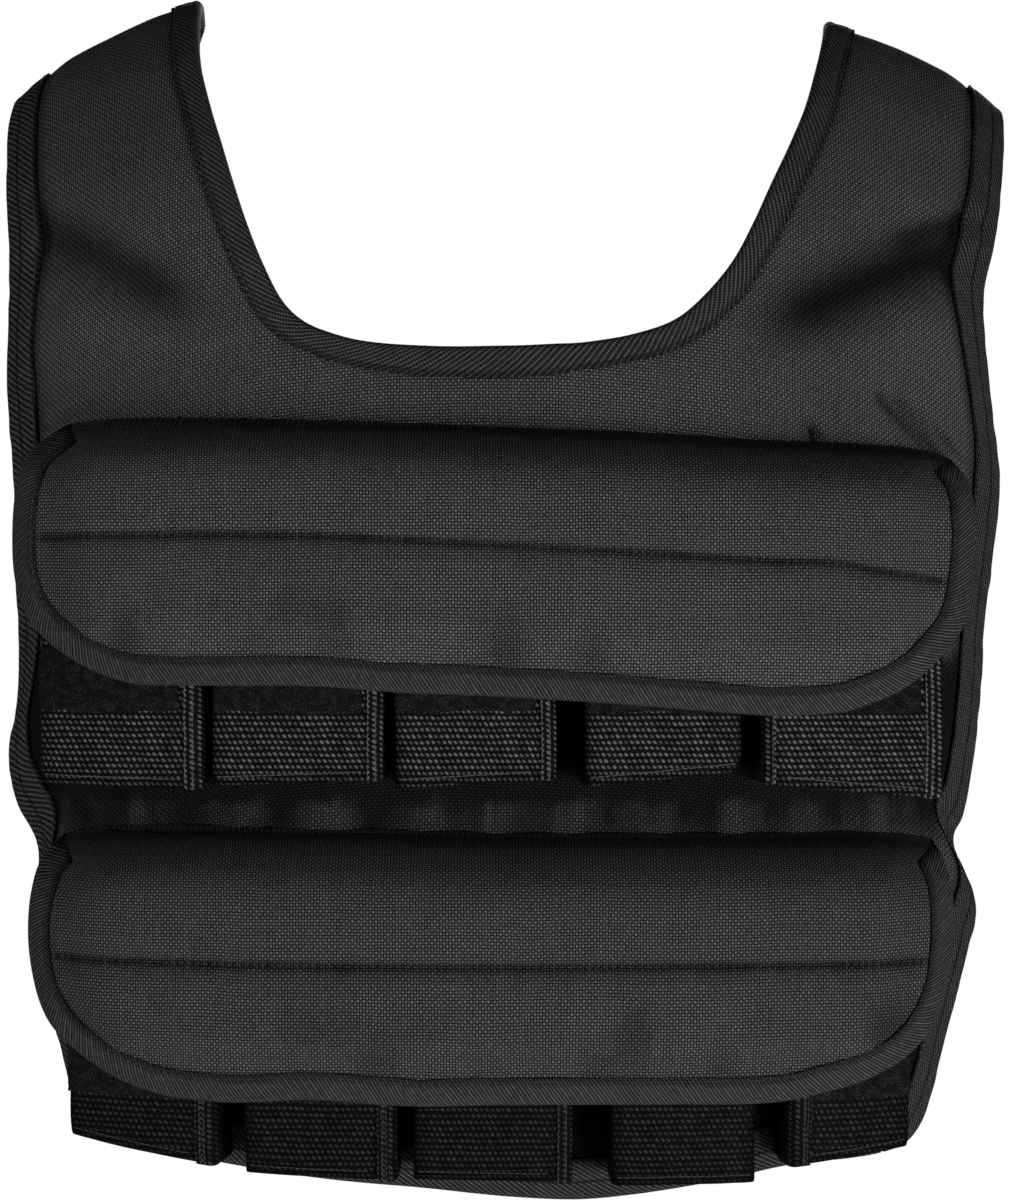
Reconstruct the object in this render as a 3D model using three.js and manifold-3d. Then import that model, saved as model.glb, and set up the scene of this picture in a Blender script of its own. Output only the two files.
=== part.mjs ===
// A weighted vest as it hangs on a body: padded front and back panels joined just behind the
// shoulders, folded tape round every edge, two padded flaps over two rows of box pockets made of
// wide ribbed webbing, and a plain belt at each side. Millimetres, +Z up, -Y is the front, +X is
// the right-hand side of the front view. The origin is on the shoulder line, midway between the
// straps, at the height where the straps bear on the shoulders.
import * as THREE from "three";
import { mergeVertices } from "three/addons/utils/BufferGeometryUtils.js";
import Module from "manifold-3d";

const wasm = await Module();
wasm.setup();

// ---------------------------------------------------------------- driving dimensions
const PANEL = 3.6;          // padded panel thickness
const TAPE = 0.9;           // binding tape thickness
const GAP = 0.4;            // space left between touching pieces
const SIDE_TAPE = 16;       // visible width of the tape on the sides and hems
const NECK_TAPE = 12;       // visible width of the tape on the neck
const POCKET_DEPTH = 28;    // pocket front, measured out from the back of the panel
const WEBBING = 2;          // pocket wall
const POCKET_BACK = 5.7;    // where the pocket's open side stops, clear of the tape on the panel
const FLAP_BASE = 6.6;      // inner face of a flap where it is sewn on
const FLAP_OVER = 33.2;     // inner face of a flap over the pockets
const FLAP_SIDE = 0.66;     // share of that height left at its two side edges
const FLAP_EDGE = 3;        // flap thickness at its edges
const FLAP_PAD = 8;         // flap thickness in the middle
const STRIP = 1.2;          // fastening strip thickness
const BELT = 2;             // belt thickness
const FRONT_DROP = 128;     // height over which the front strap turns over the shoulder
const BACK_DROP = 110;      // the same at the back
const SIDE_POWER = 2.6;     // how square the body section is

// crest of the shoulders, left to right
const CREST = [
  { x: -240, z: -48.3 }, { x: -217, z: -34.3 }, { x: -201, z: -20.3 }, { x: -189, z: -11.3 },
  { x: -171, z: -2.3 }, { x: -143, z: 10.2 }, { x: -133, z: 13.2 }, { x: -100, z: 20.7 },
  { x: 0, z: 26.7 }, { x: 100, z: 16.7 }, { x: 139.7, z: 4.2 }, { x: 155, z: -1.8 },
  { x: 175, z: -10.3 }, { x: 193, z: -19.3 }, { x: 205, z: -28.3 }, { x: 218, z: -39.3 }, { x: 240, z: -56.3 },
];
// body section by height: half width, depth of the front and depth of the back
const BODY = [
  { z: -500, half: 200, front: 104, back: 86 },
  { z: -420, half: 212, front: 112, back: 90 },
  { z: -330, half: 220, front: 116, back: 95 },
  { z: -230, half: 226, front: 117, back: 98 },
  { z: -150, half: 228, front: 113, back: 98 },
  { z: -60, half: 234, front: 106, back: 96 },
  { z: 40, half: 240, front: 100, back: 92 },
];
// The panels lie between a neck line and an outer line. Each line is a table of x and of drop,
// where drop 0 is the crest, 1 is where the strap has turned to hang straight, and the back is
// negative. Rows with the same station s face each other.
const NECK_FRONT = [
  { s: 0, x: -134.5, drop: -0.15 }, { s: 0.25, x: -133.5, drop: 0 }, { s: 0.7, x: -131.7, drop: 0.295 },
  { s: 1, x: -129.4, drop: 0.474 }, { s: 1.25, x: -124.5, drop: 0.605 }, { s: 1.5, x: -118.7, drop: 0.716 },
  { s: 1.75, x: -113.3, drop: 0.814 }, { s: 2, x: -107.6, drop: 0.905 }, { s: 2.25, x: -100.9, drop: 0.993 },
  { s: 2.55, x: -92.2, drop: 1.081 }, { s: 2.8, x: -83.2, drop: 1.128 }, { s: 3.05, x: -71.8, drop: 1.158 },
  { s: 3.4, x: -58.8, drop: 1.18 }, { s: 4.1, x: -32.3, drop: 1.198 }, { s: 5, x: -3.2, drop: 1.199 },
  { s: 5.9, x: 18.1, drop: 1.192 }, { s: 6.6, x: 36.1, drop: 1.18 }, { s: 6.95, x: 53, drop: 1.157 },
  { s: 7.2, x: 66.9, drop: 1.125 }, { s: 7.45, x: 77.9, drop: 1.076 }, { s: 7.75, x: 91.9, drop: 0.983 },
  { s: 8, x: 101, drop: 0.891 }, { s: 8.25, x: 108.7, drop: 0.796 }, { s: 8.5, x: 117.1, drop: 0.688 },
  { s: 8.75, x: 124.7, drop: 0.566 }, { s: 9, x: 130.7, drop: 0.416 }, { s: 9.3, x: 134.7, drop: 0.27 },
  { s: 9.75, x: 138.5, drop: 0 }, { s: 10, x: 140, drop: -0.15 },
];
const OUTER_FRONT = [
  { s: 0, x: -210.9, drop: -0.15 }, { s: 0.25, x: -210.5, drop: 0 }, { s: 0.7, x: -211.5, drop: 0.283 },
  { s: 1.1, x: -210.4, drop: 0.523 }, { s: 1.4, x: -207.9, drop: 0.697 }, { s: 1.65, x: -207.5, drop: 0.836 },
  { s: 1.95, x: -207.9, drop: 1.005 }, { s: 2.1, x: -206.4, drop: 1.097 }, { s: 2.25, x: -204.8, drop: 1.188 },
  { s: 2.5, x: -203.7, drop: 1.361 }, { s: 2.7, x: -202.4, drop: 1.536 }, { s: 2.83, x: -203.2, drop: 1.658 },
  { s: 2.95, x: -206.8, drop: 1.77 }, { s: 3.05, x: -205, drop: 1.863 }, { s: 3.18, x: -194, drop: 2.016 },
  { s: 3.28, x: -194.5, drop: 2.103 }, { s: 3.42, x: -193, drop: 2.238 }, { s: 3.55, x: -189, drop: 2.36 },
  { s: 3.68, x: -182.5, drop: 2.5 }, { s: 3.78, x: -177.5, drop: 2.595 }, { s: 3.86, x: -171, drop: 2.65 },
  { s: 3.95, x: -158.9, drop: 2.704 }, { s: 4.2, x: -114.4, drop: 2.803 }, { s: 4.5, x: -72.4, drop: 2.859 },
  { s: 4.75, x: -30, drop: 2.889 }, { s: 5, x: 5, drop: 2.906 }, { s: 5.25, x: 37.4, drop: 2.901 },
  { s: 5.5, x: 78.1, drop: 2.853 }, { s: 5.8, x: 119.4, drop: 2.771 }, { s: 6.05, x: 151.5, drop: 2.704 },
  { s: 6.14, x: 163.2, drop: 2.664 }, { s: 6.22, x: 169.5, drop: 2.615 }, { s: 6.32, x: 173.6, drop: 2.55 },
  { s: 6.45, x: 177.8, drop: 2.46 }, { s: 6.58, x: 183, drop: 2.35 }, { s: 6.72, x: 190, drop: 2.2 },
  { s: 6.82, x: 193.8, drop: 2.105 }, { s: 6.92, x: 183, drop: 2.01 }, { s: 7.05, x: 187.5, drop: 1.93 },
  { s: 7.17, x: 190.9, drop: 1.83 }, { s: 7.3, x: 193.6, drop: 1.7 }, { s: 7.5, x: 196, drop: 1.54 },
  { s: 7.75, x: 200.9, drop: 1.32 }, { s: 7.95, x: 202.9, drop: 1.179 }, { s: 8.1, x: 199.7, drop: 1.05 },
  { s: 8.25, x: 196.9, drop: 0.94 }, { s: 8.4, x: 196.2, drop: 0.84 }, { s: 8.6, x: 200.6, drop: 0.713 },
  { s: 8.9, x: 205.6, drop: 0.56 }, { s: 9.3, x: 210.1, drop: 0.3 }, { s: 9.75, x: 211.6, drop: 0 },
  { s: 10, x: 211.1, drop: -0.15 },
];
const NECK_BACK = [
  { s: 0, x: -134.6, drop: -0.154 }, { s: 0.8, x: -139.7, drop: -0.36 }, { s: 1.1, x: -137.1, drop: -0.51 },
  { s: 1.4, x: -132.5, drop: -0.64 }, { s: 1.65, x: -127.5, drop: -0.756 }, { s: 1.95, x: -121.5, drop: -0.87 },
  { s: 2.3, x: -114.5, drop: -0.98 }, { s: 2.65, x: -105, drop: -1.11 }, { s: 2.9, x: -94, drop: -1.18 },
  { s: 3.4, x: -68, drop: -1.25 }, { s: 4.1, x: -38, drop: -1.28 }, { s: 5, x: 0, drop: -1.283 },
  { s: 5.9, x: 28, drop: -1.274 }, { s: 6.6, x: 52, drop: -1.243 }, { s: 6.95, x: 68, drop: -1.21 },
  { s: 7.2, x: 83, drop: -1.16 }, { s: 7.5, x: 96, drop: -1.09 }, { s: 7.85, x: 109, drop: -0.955 },
  { s: 8.15, x: 118.5, drop: -0.84 }, { s: 8.45, x: 126, drop: -0.72 }, { s: 8.75, x: 133.5, drop: -0.595 },
  { s: 9.05, x: 139, drop: -0.45 }, { s: 9.35, x: 142.2, drop: -0.3 }, { s: 10, x: 140.1, drop: -0.154 },
];
const OUTER_BACK = [
  { s: 0, x: -210.9, drop: -0.154 }, { s: 0.8, x: -209.9, drop: -0.45 }, { s: 1.5, x: -207.9, drop: -0.85 },
  { s: 2.2, x: -206.9, drop: -1.35 }, { s: 2.8, x: -204.9, drop: -1.9 }, { s: 3.3, x: -199.9, drop: -2.4 },
  { s: 3.65, x: -188.9, drop: -2.8 }, { s: 3.8, x: -181, drop: -2.95 }, { s: 3.9, x: -169.8, drop: -3.03 },
  { s: 4.1, x: -140, drop: -3.11 }, { s: 4.5, x: -75, drop: -3.22 }, { s: 5, x: 0, drop: -3.27 },
  { s: 5.5, x: 75, drop: -3.19 }, { s: 5.9, x: 138, drop: -3.05 }, { s: 6.1, x: 165.9, drop: -2.97 },
  { s: 6.2, x: 175, drop: -2.89 }, { s: 6.35, x: 182.6, drop: -2.75 }, { s: 6.7, x: 194.5, drop: -2.35 },
  { s: 7.2, x: 200.5, drop: -1.85 }, { s: 7.8, x: 203.5, drop: -1.32 }, { s: 8.5, x: 205.5, drop: -0.83 },
  { s: 9.2, x: 209, drop: -0.45 }, { s: 10, x: 212, drop: -0.154 },
];
// Flaps: height of the sewn top edge and of the free bottom edge across the width, and the x of
// the two side edges by fraction of the height, with the rounded bottom corners.
const FLAPS = {
  upper: {
    pockets: { left: -193, right: 180.5, edgeLeft: -206, edgeRight: 193 },
    top: [
      { x: -190, z: -171.5 }, { x: -166, z: -169.4 }, { x: -83, z: -170.8 }, { x: -3, z: -173.8 },
      { x: 57, z: -176.2 }, { x: 109, z: -179.1 }, { x: 142, z: -179.8 }, { x: 172, z: -182 }, { x: 184, z: -185 },
    ],
    bottom: [
      { x: -150, z: -276.4 }, { x: -114, z: -276.6 }, { x: -78, z: -276.8 }, { x: -41, z: -279.3 },
      { x: -3, z: -280.8 }, { x: 35, z: -283.1 }, { x: 72, z: -285.9 }, { x: 108, z: -288.4 },
      { x: 133, z: -287.3 }, { x: 145, z: -286 },
    ],
    sides: [
      { f: 0, left: -189, right: 182 }, { f: 0.1, left: -198.5, right: 188.5 }, { f: 0.25, left: -202.3, right: 190.5 },
      { f: 0.44, left: -203.6, right: 190 }, { f: 0.6, left: -202.2, right: 187.6 }, { f: 0.7, left: -198.6, right: 183.5 },
      { f: 0.78, left: -193, right: 177 }, { f: 0.85, left: -185.2, right: 170 }, { f: 0.91, left: -175.8, right: 162 },
      { f: 0.955, left: -166, right: 153 }, { f: 0.985, left: -156.5, right: 143.5 }, { f: 1, left: -148.5, right: 134.5 },
    ],
  },
  lower: {
    pockets: { left: -183.5, right: 167.5, edgeLeft: -200, edgeRight: 184 },
    top: [
      { x: -183, z: -339.6 }, { x: -176, z: -337.6 }, { x: -83, z: -335.6 }, { x: -3, z: -337.2 },
      { x: 101, z: -337.8 }, { x: 159, z: -339 }, { x: 178, z: -342.5 },
    ],
    bottom: [
      { x: -138, z: -438.7 }, { x: -113, z: -440.3 }, { x: -78, z: -438.7 }, { x: -41, z: -440.8 },
      { x: -3, z: -440.3 }, { x: 72, z: -440.3 }, { x: 104, z: -440.3 }, { x: 125, z: -438 },
    ],
    sides: [
      { f: 0, left: -183.5, right: 175.5 }, { f: 0.08, left: -191.5, right: 179.5 }, { f: 0.21, left: -195.8, right: 181.8 },
      { f: 0.4, left: -197.8, right: 182 }, { f: 0.55, left: -196, right: 180.4 }, { f: 0.68, left: -191.4, right: 176 },
      { f: 0.77, left: -184.2, right: 170.6 }, { f: 0.85, left: -175, right: 163 }, { f: 0.91, left: -165.4, right: 153.4 },
      { f: 0.955, left: -155, right: 142.5 }, { f: 0.985, left: -145, right: 130 }, { f: 1, left: -137, right: 121 },
    ],
  },
};
// Pockets: side edges, the bottom height at each side, and the height of the strip's lower edge.
const POCKETS = {
  upper: {
    top: -214, strip: -287.5,
    row: [
      { left: -176.5, right: -116.2, lowLeft: -316.2, lowRight: -317.6 },
      { left: -112.4, right: -48.2, lowLeft: -316.4, lowRight: -313.8 },
      { left: -44.4, right: 18.2, lowLeft: -317.2, lowRight: -313.4 },
      { left: 29.2, right: 89.2, lowLeft: -316.6, lowRight: -310.6 },
      { left: 97.7, right: 163.6, lowLeft: -315.6, lowRight: -322.4 },
    ],
  },
  lower: {
    top: -371, strip: -441,
    row: [
      { left: -165.3, right: -110.8, lowLeft: -458.6, lowRight: -468 },
      { left: -100.4, right: -43.4, lowLeft: -470.2, lowRight: -472.2 },
      { left: -37.3, right: 24.7, lowLeft: -471.8, lowRight: -472.6 },
      { left: 39.3, right: 94.5, lowLeft: -474.4, lowRight: -474.2 },
      { left: 106.5, right: 151.4, lowLeft: -468.2, lowRight: -462.4 },
    ],
  },
};
const BELTS = { high: -372, low: -418, under: 34 };

// ---------------------------------------------------------------- tables and surfaces
// smooth curve through a table's rows
function along(table, key, col, at) {
  const n = table.length;
  const k = (i) => table[i][key];
  const y = (i) => table[i][col];
  if (at <= k(0)) return y(0) + ((at - k(0)) * (y(1) - y(0))) / (k(1) - k(0));
  if (at >= k(n - 1)) return y(n - 1) + ((at - k(n - 1)) * (y(n - 1) - y(n - 2))) / (k(n - 1) - k(n - 2));
  let i = 0;
  while (k(i + 1) < at) i++;
  const h = k(i + 1) - k(i);
  const d = (y(i + 1) - y(i)) / h;
  const m0 = i === 0 ? d : 0.5 * (d + (y(i) - y(i - 1)) / (k(i) - k(i - 1)));
  const m1 = i === n - 2 ? d : 0.5 * (d + (y(i + 2) - y(i + 1)) / (k(i + 2) - k(i + 1)));
  const t = (at - k(i)) / h;
  return (2 * t ** 3 - 3 * t * t + 1) * y(i) + (t ** 3 - 2 * t * t + t) * h * m0
    + (3 * t * t - 2 * t ** 3) * y(i + 1) + (t ** 3 - t * t) * h * m1;
}
const smooth = (t) => { const c = Math.min(Math.max(t, 0), 1); return c * c * (3 - 2 * c); };
const mix = (a, b, t) => a + (b - a) * t;

// the inner face of the worn vest at x and drop
function bodySurface(x, drop) {
  const front = drop >= 0;
  const d = Math.abs(drop);
  const fall = front ? FRONT_DROP : BACK_DROP;
  const crest = along(CREST, "x", "z", x);
  const turn = Math.min(d, 1) * Math.PI / 2;
  const z = crest - fall * (1 - Math.cos(turn)) - fall * Math.PI / 2 * Math.max(0, d - 1);
  const half = along(BODY, "z", "half", z);
  const deep = along(BODY, "z", front ? "front" : "back", z);
  const q = Math.min(Math.abs(x) / half, 0.999);
  const y = deep * Math.sqrt(1 - q ** SIDE_POWER) * Math.sin(turn);
  return new THREE.Vector3(x, front ? -y : y, z);
}
// a point out from that face by a distance
function onBody(x, drop, out = 0) {
  const p = bodySurface(x, drop);
  if (out === 0) return p;
  const a = bodySurface(x + 0.5, drop).sub(bodySurface(x - 0.5, drop));
  const b = bodySurface(x, drop + 0.004).sub(bodySurface(x, drop - 0.004));
  return p.addScaledVector(b.cross(a).normalize(), out);
}
const dropAt = (x, z) => 1 + (along(CREST, "x", "z", x) - FRONT_DROP - z) / (FRONT_DROP * Math.PI / 2);
const onFront = (x, z, out) => onBody(x, dropAt(x, z), out);
// the same, by the point's own x instead of the x of its foot on the body
function aimFront(x, z, out) {
  let foot = x;
  for (let k = 0; k < 6; k++) foot += x - onFront(foot, z, out).x;
  return onFront(foot, z, out);
}
const onBack = (x, z, out) => onBody(x, -1 - (along(CREST, "x", "z", x) - BACK_DROP - z) / (BACK_DROP * Math.PI / 2), out);

// ---------------------------------------------------------------- closed geometry
// drop the box's own normals and uvs, share its corners and make its faces point out
function closed(geometry) {
  geometry.deleteAttribute("normal");
  geometry.deleteAttribute("uv");
  let g = mergeVertices(geometry, 1e-4);
  const p = g.attributes.position;
  const ix = g.index.array;
  const keep = [];
  for (let i = 0; i < ix.length; i += 3) {
    if (ix[i] !== ix[i + 1] && ix[i + 1] !== ix[i + 2] && ix[i] !== ix[i + 2]) keep.push(ix[i], ix[i + 1], ix[i + 2]);
  }
  const v = (i) => new THREE.Vector3().fromBufferAttribute(p, i);
  let six = 0;
  for (let i = 0; i < keep.length; i += 3) six += v(keep[i]).dot(v(keep[i + 1]).cross(v(keep[i + 2])));
  if (six < 0) for (let i = 0; i < keep.length; i += 3) [keep[i + 1], keep[i + 2]] = [keep[i + 2], keep[i + 1]];
  g.setIndex(keep);
  return g;
}
// a box divided at the given knots, each corner moved to place(a, b, c)
function bentBox(as, bs, cs, place) {
  const g = new THREE.BoxGeometry(as.length - 1, bs.length - 1, cs.length - 1, as.length - 1, bs.length - 1, cs.length - 1);
  const p = g.attributes.position;
  for (let i = 0; i < p.count; i++) {
    const a = as[Math.round(p.getX(i) + (as.length - 1) / 2)];
    const b = bs[Math.round(p.getY(i) + (bs.length - 1) / 2)];
    const c = cs[Math.round(p.getZ(i) + (cs.length - 1) / 2)];
    const q = place(a, b, c);
    p.setXYZ(i, q.x, q.y, q.z);
  }
  // the last side is split along the other diagonal, so that it runs level with the side facing it
  const ix = g.index.array;
  for (let i = ix.length - (as.length - 1) * (bs.length - 1) * 6; i < ix.length; i += 6) {
    const [a, b, d, , c] = ix.slice(i, i + 6);
    ix.set([a, b, c, a, c, d], i);
  }
  return closed(g);
}
// A section carried through stations: rings[i][j] are points, with flat ends or joined in a loop.
// The second half of the section goes back along the first, and is split along the same diagonals.
function swept(rings, loop = false) {
  const n = rings.length;
  const m = rings[0].length;
  const position = [];
  for (const ring of rings) for (const q of ring) position.push(q.x, q.y, q.z);
  const index = [];
  for (let i = 0; i < (loop ? n : n - 1); i++) {
    const k = (i + 1) % n;
    for (let j = 0; j < m; j++) {
      const l = (j + 1) % m;
      if (j < m / 2) index.push(i * m + j, k * m + j, k * m + l, i * m + j, k * m + l, i * m + l);
      else index.push(i * m + j, k * m + j, i * m + l, k * m + j, k * m + l, i * m + l);
    }
  }
  if (!loop) {
    // the ends are the flat section itself, cut into triangles in its own plane
    for (const [start, flip] of [[0, false], [(n - 1) * m, true]]) {
      const ring = rings[start / m];
      const o = ring[0];
      const normal = new THREE.Vector3();
      for (let j = 0; j < m; j++) normal.add(ring[j].clone().sub(o).cross(ring[(j + 1) % m].clone().sub(o)));
      normal.normalize();
      const ex = ring[1].clone().sub(o).normalize();
      const ey = normal.clone().cross(ex);
      const flat = ring.map((q) => { const d = q.clone().sub(o); return new THREE.Vector2(d.dot(ex), d.dot(ey)); });
      for (const [a, b, c] of THREE.ShapeUtils.triangulateShape(flat, [])) {
        if (flip) index.push(start + a, start + c, start + b);
        else index.push(start + a, start + b, start + c);
      }
    }
    // make the end faces agree with the sides
    const edge = new Set();
    for (let i = 0; i < (n - 1) * m * 6; i += 3) for (let e = 0; e < 3; e++) edge.add(`${index[i + e]},${index[i + (e + 1) % 3]}`);
    const first = (n - 1) * m * 6;
    const ends = [index.slice(first, first + (m - 2) * 3), index.slice(first + (m - 2) * 3)];
    index.length = first;
    for (const tri of ends) {
      let clash = false;
      for (let i = 0; i < tri.length; i += 3) for (let e = 0; e < 3; e++) if (edge.has(`${tri[i + e]},${tri[i + (e + 1) % 3]}`)) clash = true;
      for (let i = 0; i < tri.length; i += 3) index.push(tri[i], clash ? tri[i + 2] : tri[i + 1], clash ? tri[i + 1] : tri[i + 2]);
    }
  }
  const g = new THREE.BufferGeometry();
  g.setAttribute("position", new THREE.Float32BufferAttribute(position, 3));
  g.setIndex(index);
  return closed(g);
}
const solid = (g) => new wasm.Manifold(new wasm.Mesh({
  numProp: 3, vertProperties: new Float32Array(g.attributes.position.array), triVerts: new Uint32Array(g.index.array),
}));
// cut other solids away from a piece and keep its largest part
function cut(g, ...others) {
  let s = solid(g);
  for (const o of others) s = s.subtract(solid(o));
  const parts = s.decompose().sort((a, b) => b.volume() - a.volume());
  const mesh = parts[0].getMesh();
  const out = new THREE.BufferGeometry();
  const position = [];
  for (let i = 0; i < mesh.numVert; i++) for (let c = 0; c < 3; c++) position.push(mesh.vertProperties[i * mesh.numProp + c]);
  out.setAttribute("position", new THREE.Float32BufferAttribute(position, 3));
  out.setIndex(Array.from(mesh.triVerts));
  return closed(out);
}

// ---------------------------------------------------------------- materials
const material = (hex, roughness) => new THREE.MeshStandardMaterial({ color: hex, roughness, metalness: 0 });
const cloth = material(0x2c2a2d, 0.85);
const tape = material(0x232423, 0.8);
const webbing = material(0x1b1b1b, 0.75);
const fuzzy = material(0x161415, 0.95);

const vest = new THREE.Group();
function add(name, geometry, mat) {
  geometry.computeVertexNormals();
  const mesh = new THREE.Mesh(geometry, mat);
  mesh.name = name;
  vest.add(mesh);
}

// ---------------------------------------------------------------- panels
// A panel is ruled from its neck line to its outer line. away is 0 to 1 across the rule, or a
// distance in millimetres from one of the two lines.
function panel(neck, outer) {
  const at = (s, r) => [
    mix(along(neck, "s", "x", s), along(outer, "s", "x", s), r),
    mix(along(neck, "s", "drop", s), along(outer, "s", "drop", s), r),
  ];
  const span = (s) => {
    let sum = 0;
    let last = bodySurface(...at(s, 0));
    for (let i = 1; i <= 12; i++) { const p = bodySurface(...at(s, i / 12)); sum += p.distanceTo(last); last = p; }
    return sum;
  };
  // knot 0..n across: neck line, end of the neck tape, even steps, start of the outer tape, outer line
  const ratio = (s, knot, steps) => {
    const w = span(s);
    const a = NECK_TAPE / w;
    const b = 1 - SIDE_TAPE / w;
    if (knot <= 0) return 0;
    if (knot >= steps) return 1;
    return mix(a, b, (knot - 1) / (steps - 2));
  };
  const point = (s, r, out) => onBody(...at(s, r), out);
  // a point inward from an edge by a distance, or past the edge when the distance is negative
  const fromEdge = (s, side, away, out) => {
    const w = span(s);
    const edge = side === "outer" ? 1 : 0;
    const inward = side === "outer" ? -1 : 1;
    if (away >= 0) return point(s, edge + inward * away / w, out);
    const p = point(s, edge, out);
    const q = point(s, edge + inward * 0.01, out);
    return p.clone().addScaledVector(p.clone().sub(q).normalize(), -away);
  };
  return { ratio, point, fromEdge };
}
const evenly = (a, b, n) => Array.from({ length: n + 1 }, (_, i) => mix(a, b, i / n));

// stations down one strap, along the hem and up the other, closer where the cloth turns
const frontStations = [
  0, 0.24, 0.5, 0.8, 1.12, 1.46, 1.8, 2.15, 2.5, 2.8, 2.96, 3.16, 3.38, 3.6, 3.78, 3.93,
  4.22, 4.6, 5, 5.4, 5.78, 6.07, 6.22, 6.42, 6.64, 6.82, 6.93, 7.12, 7.4, 7.7, 7.98,
  8.27, 8.58, 8.9, 9.2, 9.5, 9.76, 10,
];
const backStations = [
  0, 0.45, 0.85, 1.25, 1.65, 2.05, 2.45, 2.85, 3.25, 3.58, 3.78, 3.94, 4.35, 5,
  5.65, 6.06, 6.22, 6.45, 6.8, 7.15, 7.5, 7.9, 8.3, 8.7, 9.1, 9.5, 10,
];
const front = panel(NECK_FRONT, OUTER_FRONT);
const back = panel(NECK_BACK, OUTER_BACK);
const CROSS = 7;
const panelShell = (pan, list, grow) => bentBox(list, evenly(0, CROSS, CROSS), [-grow, PANEL + grow], (s, k, out) => {
  const past = grow > 0 ? (s === 0 ? -0.006 : s === 10 ? 0.006 : 0) : 0;
  if (grow > 0 && k === 0) return pan.fromEdge(s + past, "neck", -grow, out);
  if (grow > 0 && k === CROSS) return pan.fromEdge(s + past, "outer", -grow, out);
  return pan.point(s + past, pan.ratio(s, k, CROSS), out);
});
add("front_panel", panelShell(front, frontStations, 0), cloth);
add("back_panel", panelShell(back, backStations, 0), cloth);
const frontClear = panelShell(front, frontStations, 0.3);
const backClear = panelShell(back, backStations, 0.3);

// ---------------------------------------------------------------- folded tape on the panels
// section of the tape round an edge: distance in from the edge, and distance out from the cloth
const foldedTape = (width) => [
  [width, PANEL + GAP + TAPE], [-GAP - TAPE, PANEL + GAP + TAPE / 2], [-GAP - TAPE, -GAP - TAPE / 2],
  [width, -GAP - TAPE], [width, -GAP], [-GAP, -GAP], [-GAP, PANEL + GAP], [width, PANEL + GAP],
];
const tapeRing = (pan, s, side, width) => foldedTape(width).map(([away, out]) => pan.fromEdge(s, side, away, out));
const between = (list, a, b) => list.filter((s) => s > a + 1e-6 && s < b - 1e-6);

add("neck_binding", cut(swept([
  ...frontStations.map((s) => tapeRing(front, s, "neck", NECK_TAPE)),
  ...[...backStations].reverse().slice(1, -1).map((s) => tapeRing(back, s, "neck", NECK_TAPE)),
], true), frontClear, backClear), tape);
const HEM = { frontLeft: 3.93, frontRight: 6.07, backLeft: 3.94, backRight: 6.06 };
add("side_binding_left", cut(swept([
  ...[HEM.frontLeft, ...between(frontStations, 0, HEM.frontLeft).reverse(), 0].map((s) => tapeRing(front, s, "outer", SIDE_TAPE)),
  ...[...between(backStations, 0, HEM.backLeft), HEM.backLeft].map((s) => tapeRing(back, s, "outer", SIDE_TAPE)),
]), frontClear, backClear), tape);
add("side_binding_right", cut(swept([
  ...[HEM.frontRight, ...between(frontStations, HEM.frontRight, 10), 10].map((s) => tapeRing(front, s, "outer", SIDE_TAPE)),
  ...[...between(backStations, HEM.backRight, 10).reverse(), HEM.backRight].map((s) => tapeRing(back, s, "outer", SIDE_TAPE)),
]), frontClear, backClear), tape);
for (const [name, pan, list, a, b] of [
  ["hem_binding_front", front, frontStations, HEM.frontLeft, HEM.frontRight],
  ["hem_binding_back", back, backStations, HEM.backLeft, HEM.backRight],
]) {
  const clear = 0.012;
  add(name, cut(
    swept([a + clear, ...between(list, a + clear, b - clear), b - clear].map((s) => tapeRing(pan, s, "outer", SIDE_TAPE))),
    pan === front ? frontClear : backClear,
  ), tape);
}

// ---------------------------------------------------------------- flaps
function flapShape(spec) {
  const topZ = (x) => along(spec.top, "x", "z", Math.max(spec.top[0].x, Math.min(spec.top.at(-1).x, x)));
  const botZ = (x) => along(spec.bottom, "x", "z", Math.max(spec.bottom[0].x, Math.min(spec.bottom.at(-1).x, x)));
  const inset = GAP + TAPE;
  // corner of the flap cloth at u across and f down
  const at = (u, f) => {
    const x = mix(along(spec.sides, "f", "left", f) + inset, along(spec.sides, "f", "right", f) - inset, u);
    return { x, z: mix(topZ(x), botZ(x) + inset, f) };
  };
  // how far the flap's inner face stands off the back of the panel
  const stand = (x, z) => {
    const f = (z - topZ(x)) / (botZ(x) - topZ(x));
    const rise = 1 - (1 - Math.min(Math.max(f / 0.28, 0), 1)) ** 2.2;
    const e = spec.pockets;
    const reach = Math.min(smooth((x - e.edgeLeft) / (e.left - e.edgeLeft)), smooth((e.edgeRight - x) / (e.edgeRight - e.right)));
    return FLAP_BASE + (FLAP_OVER - FLAP_BASE) * rise * mix(FLAP_SIDE, 1, reach);
  };
  return { at, stand };
}
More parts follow.
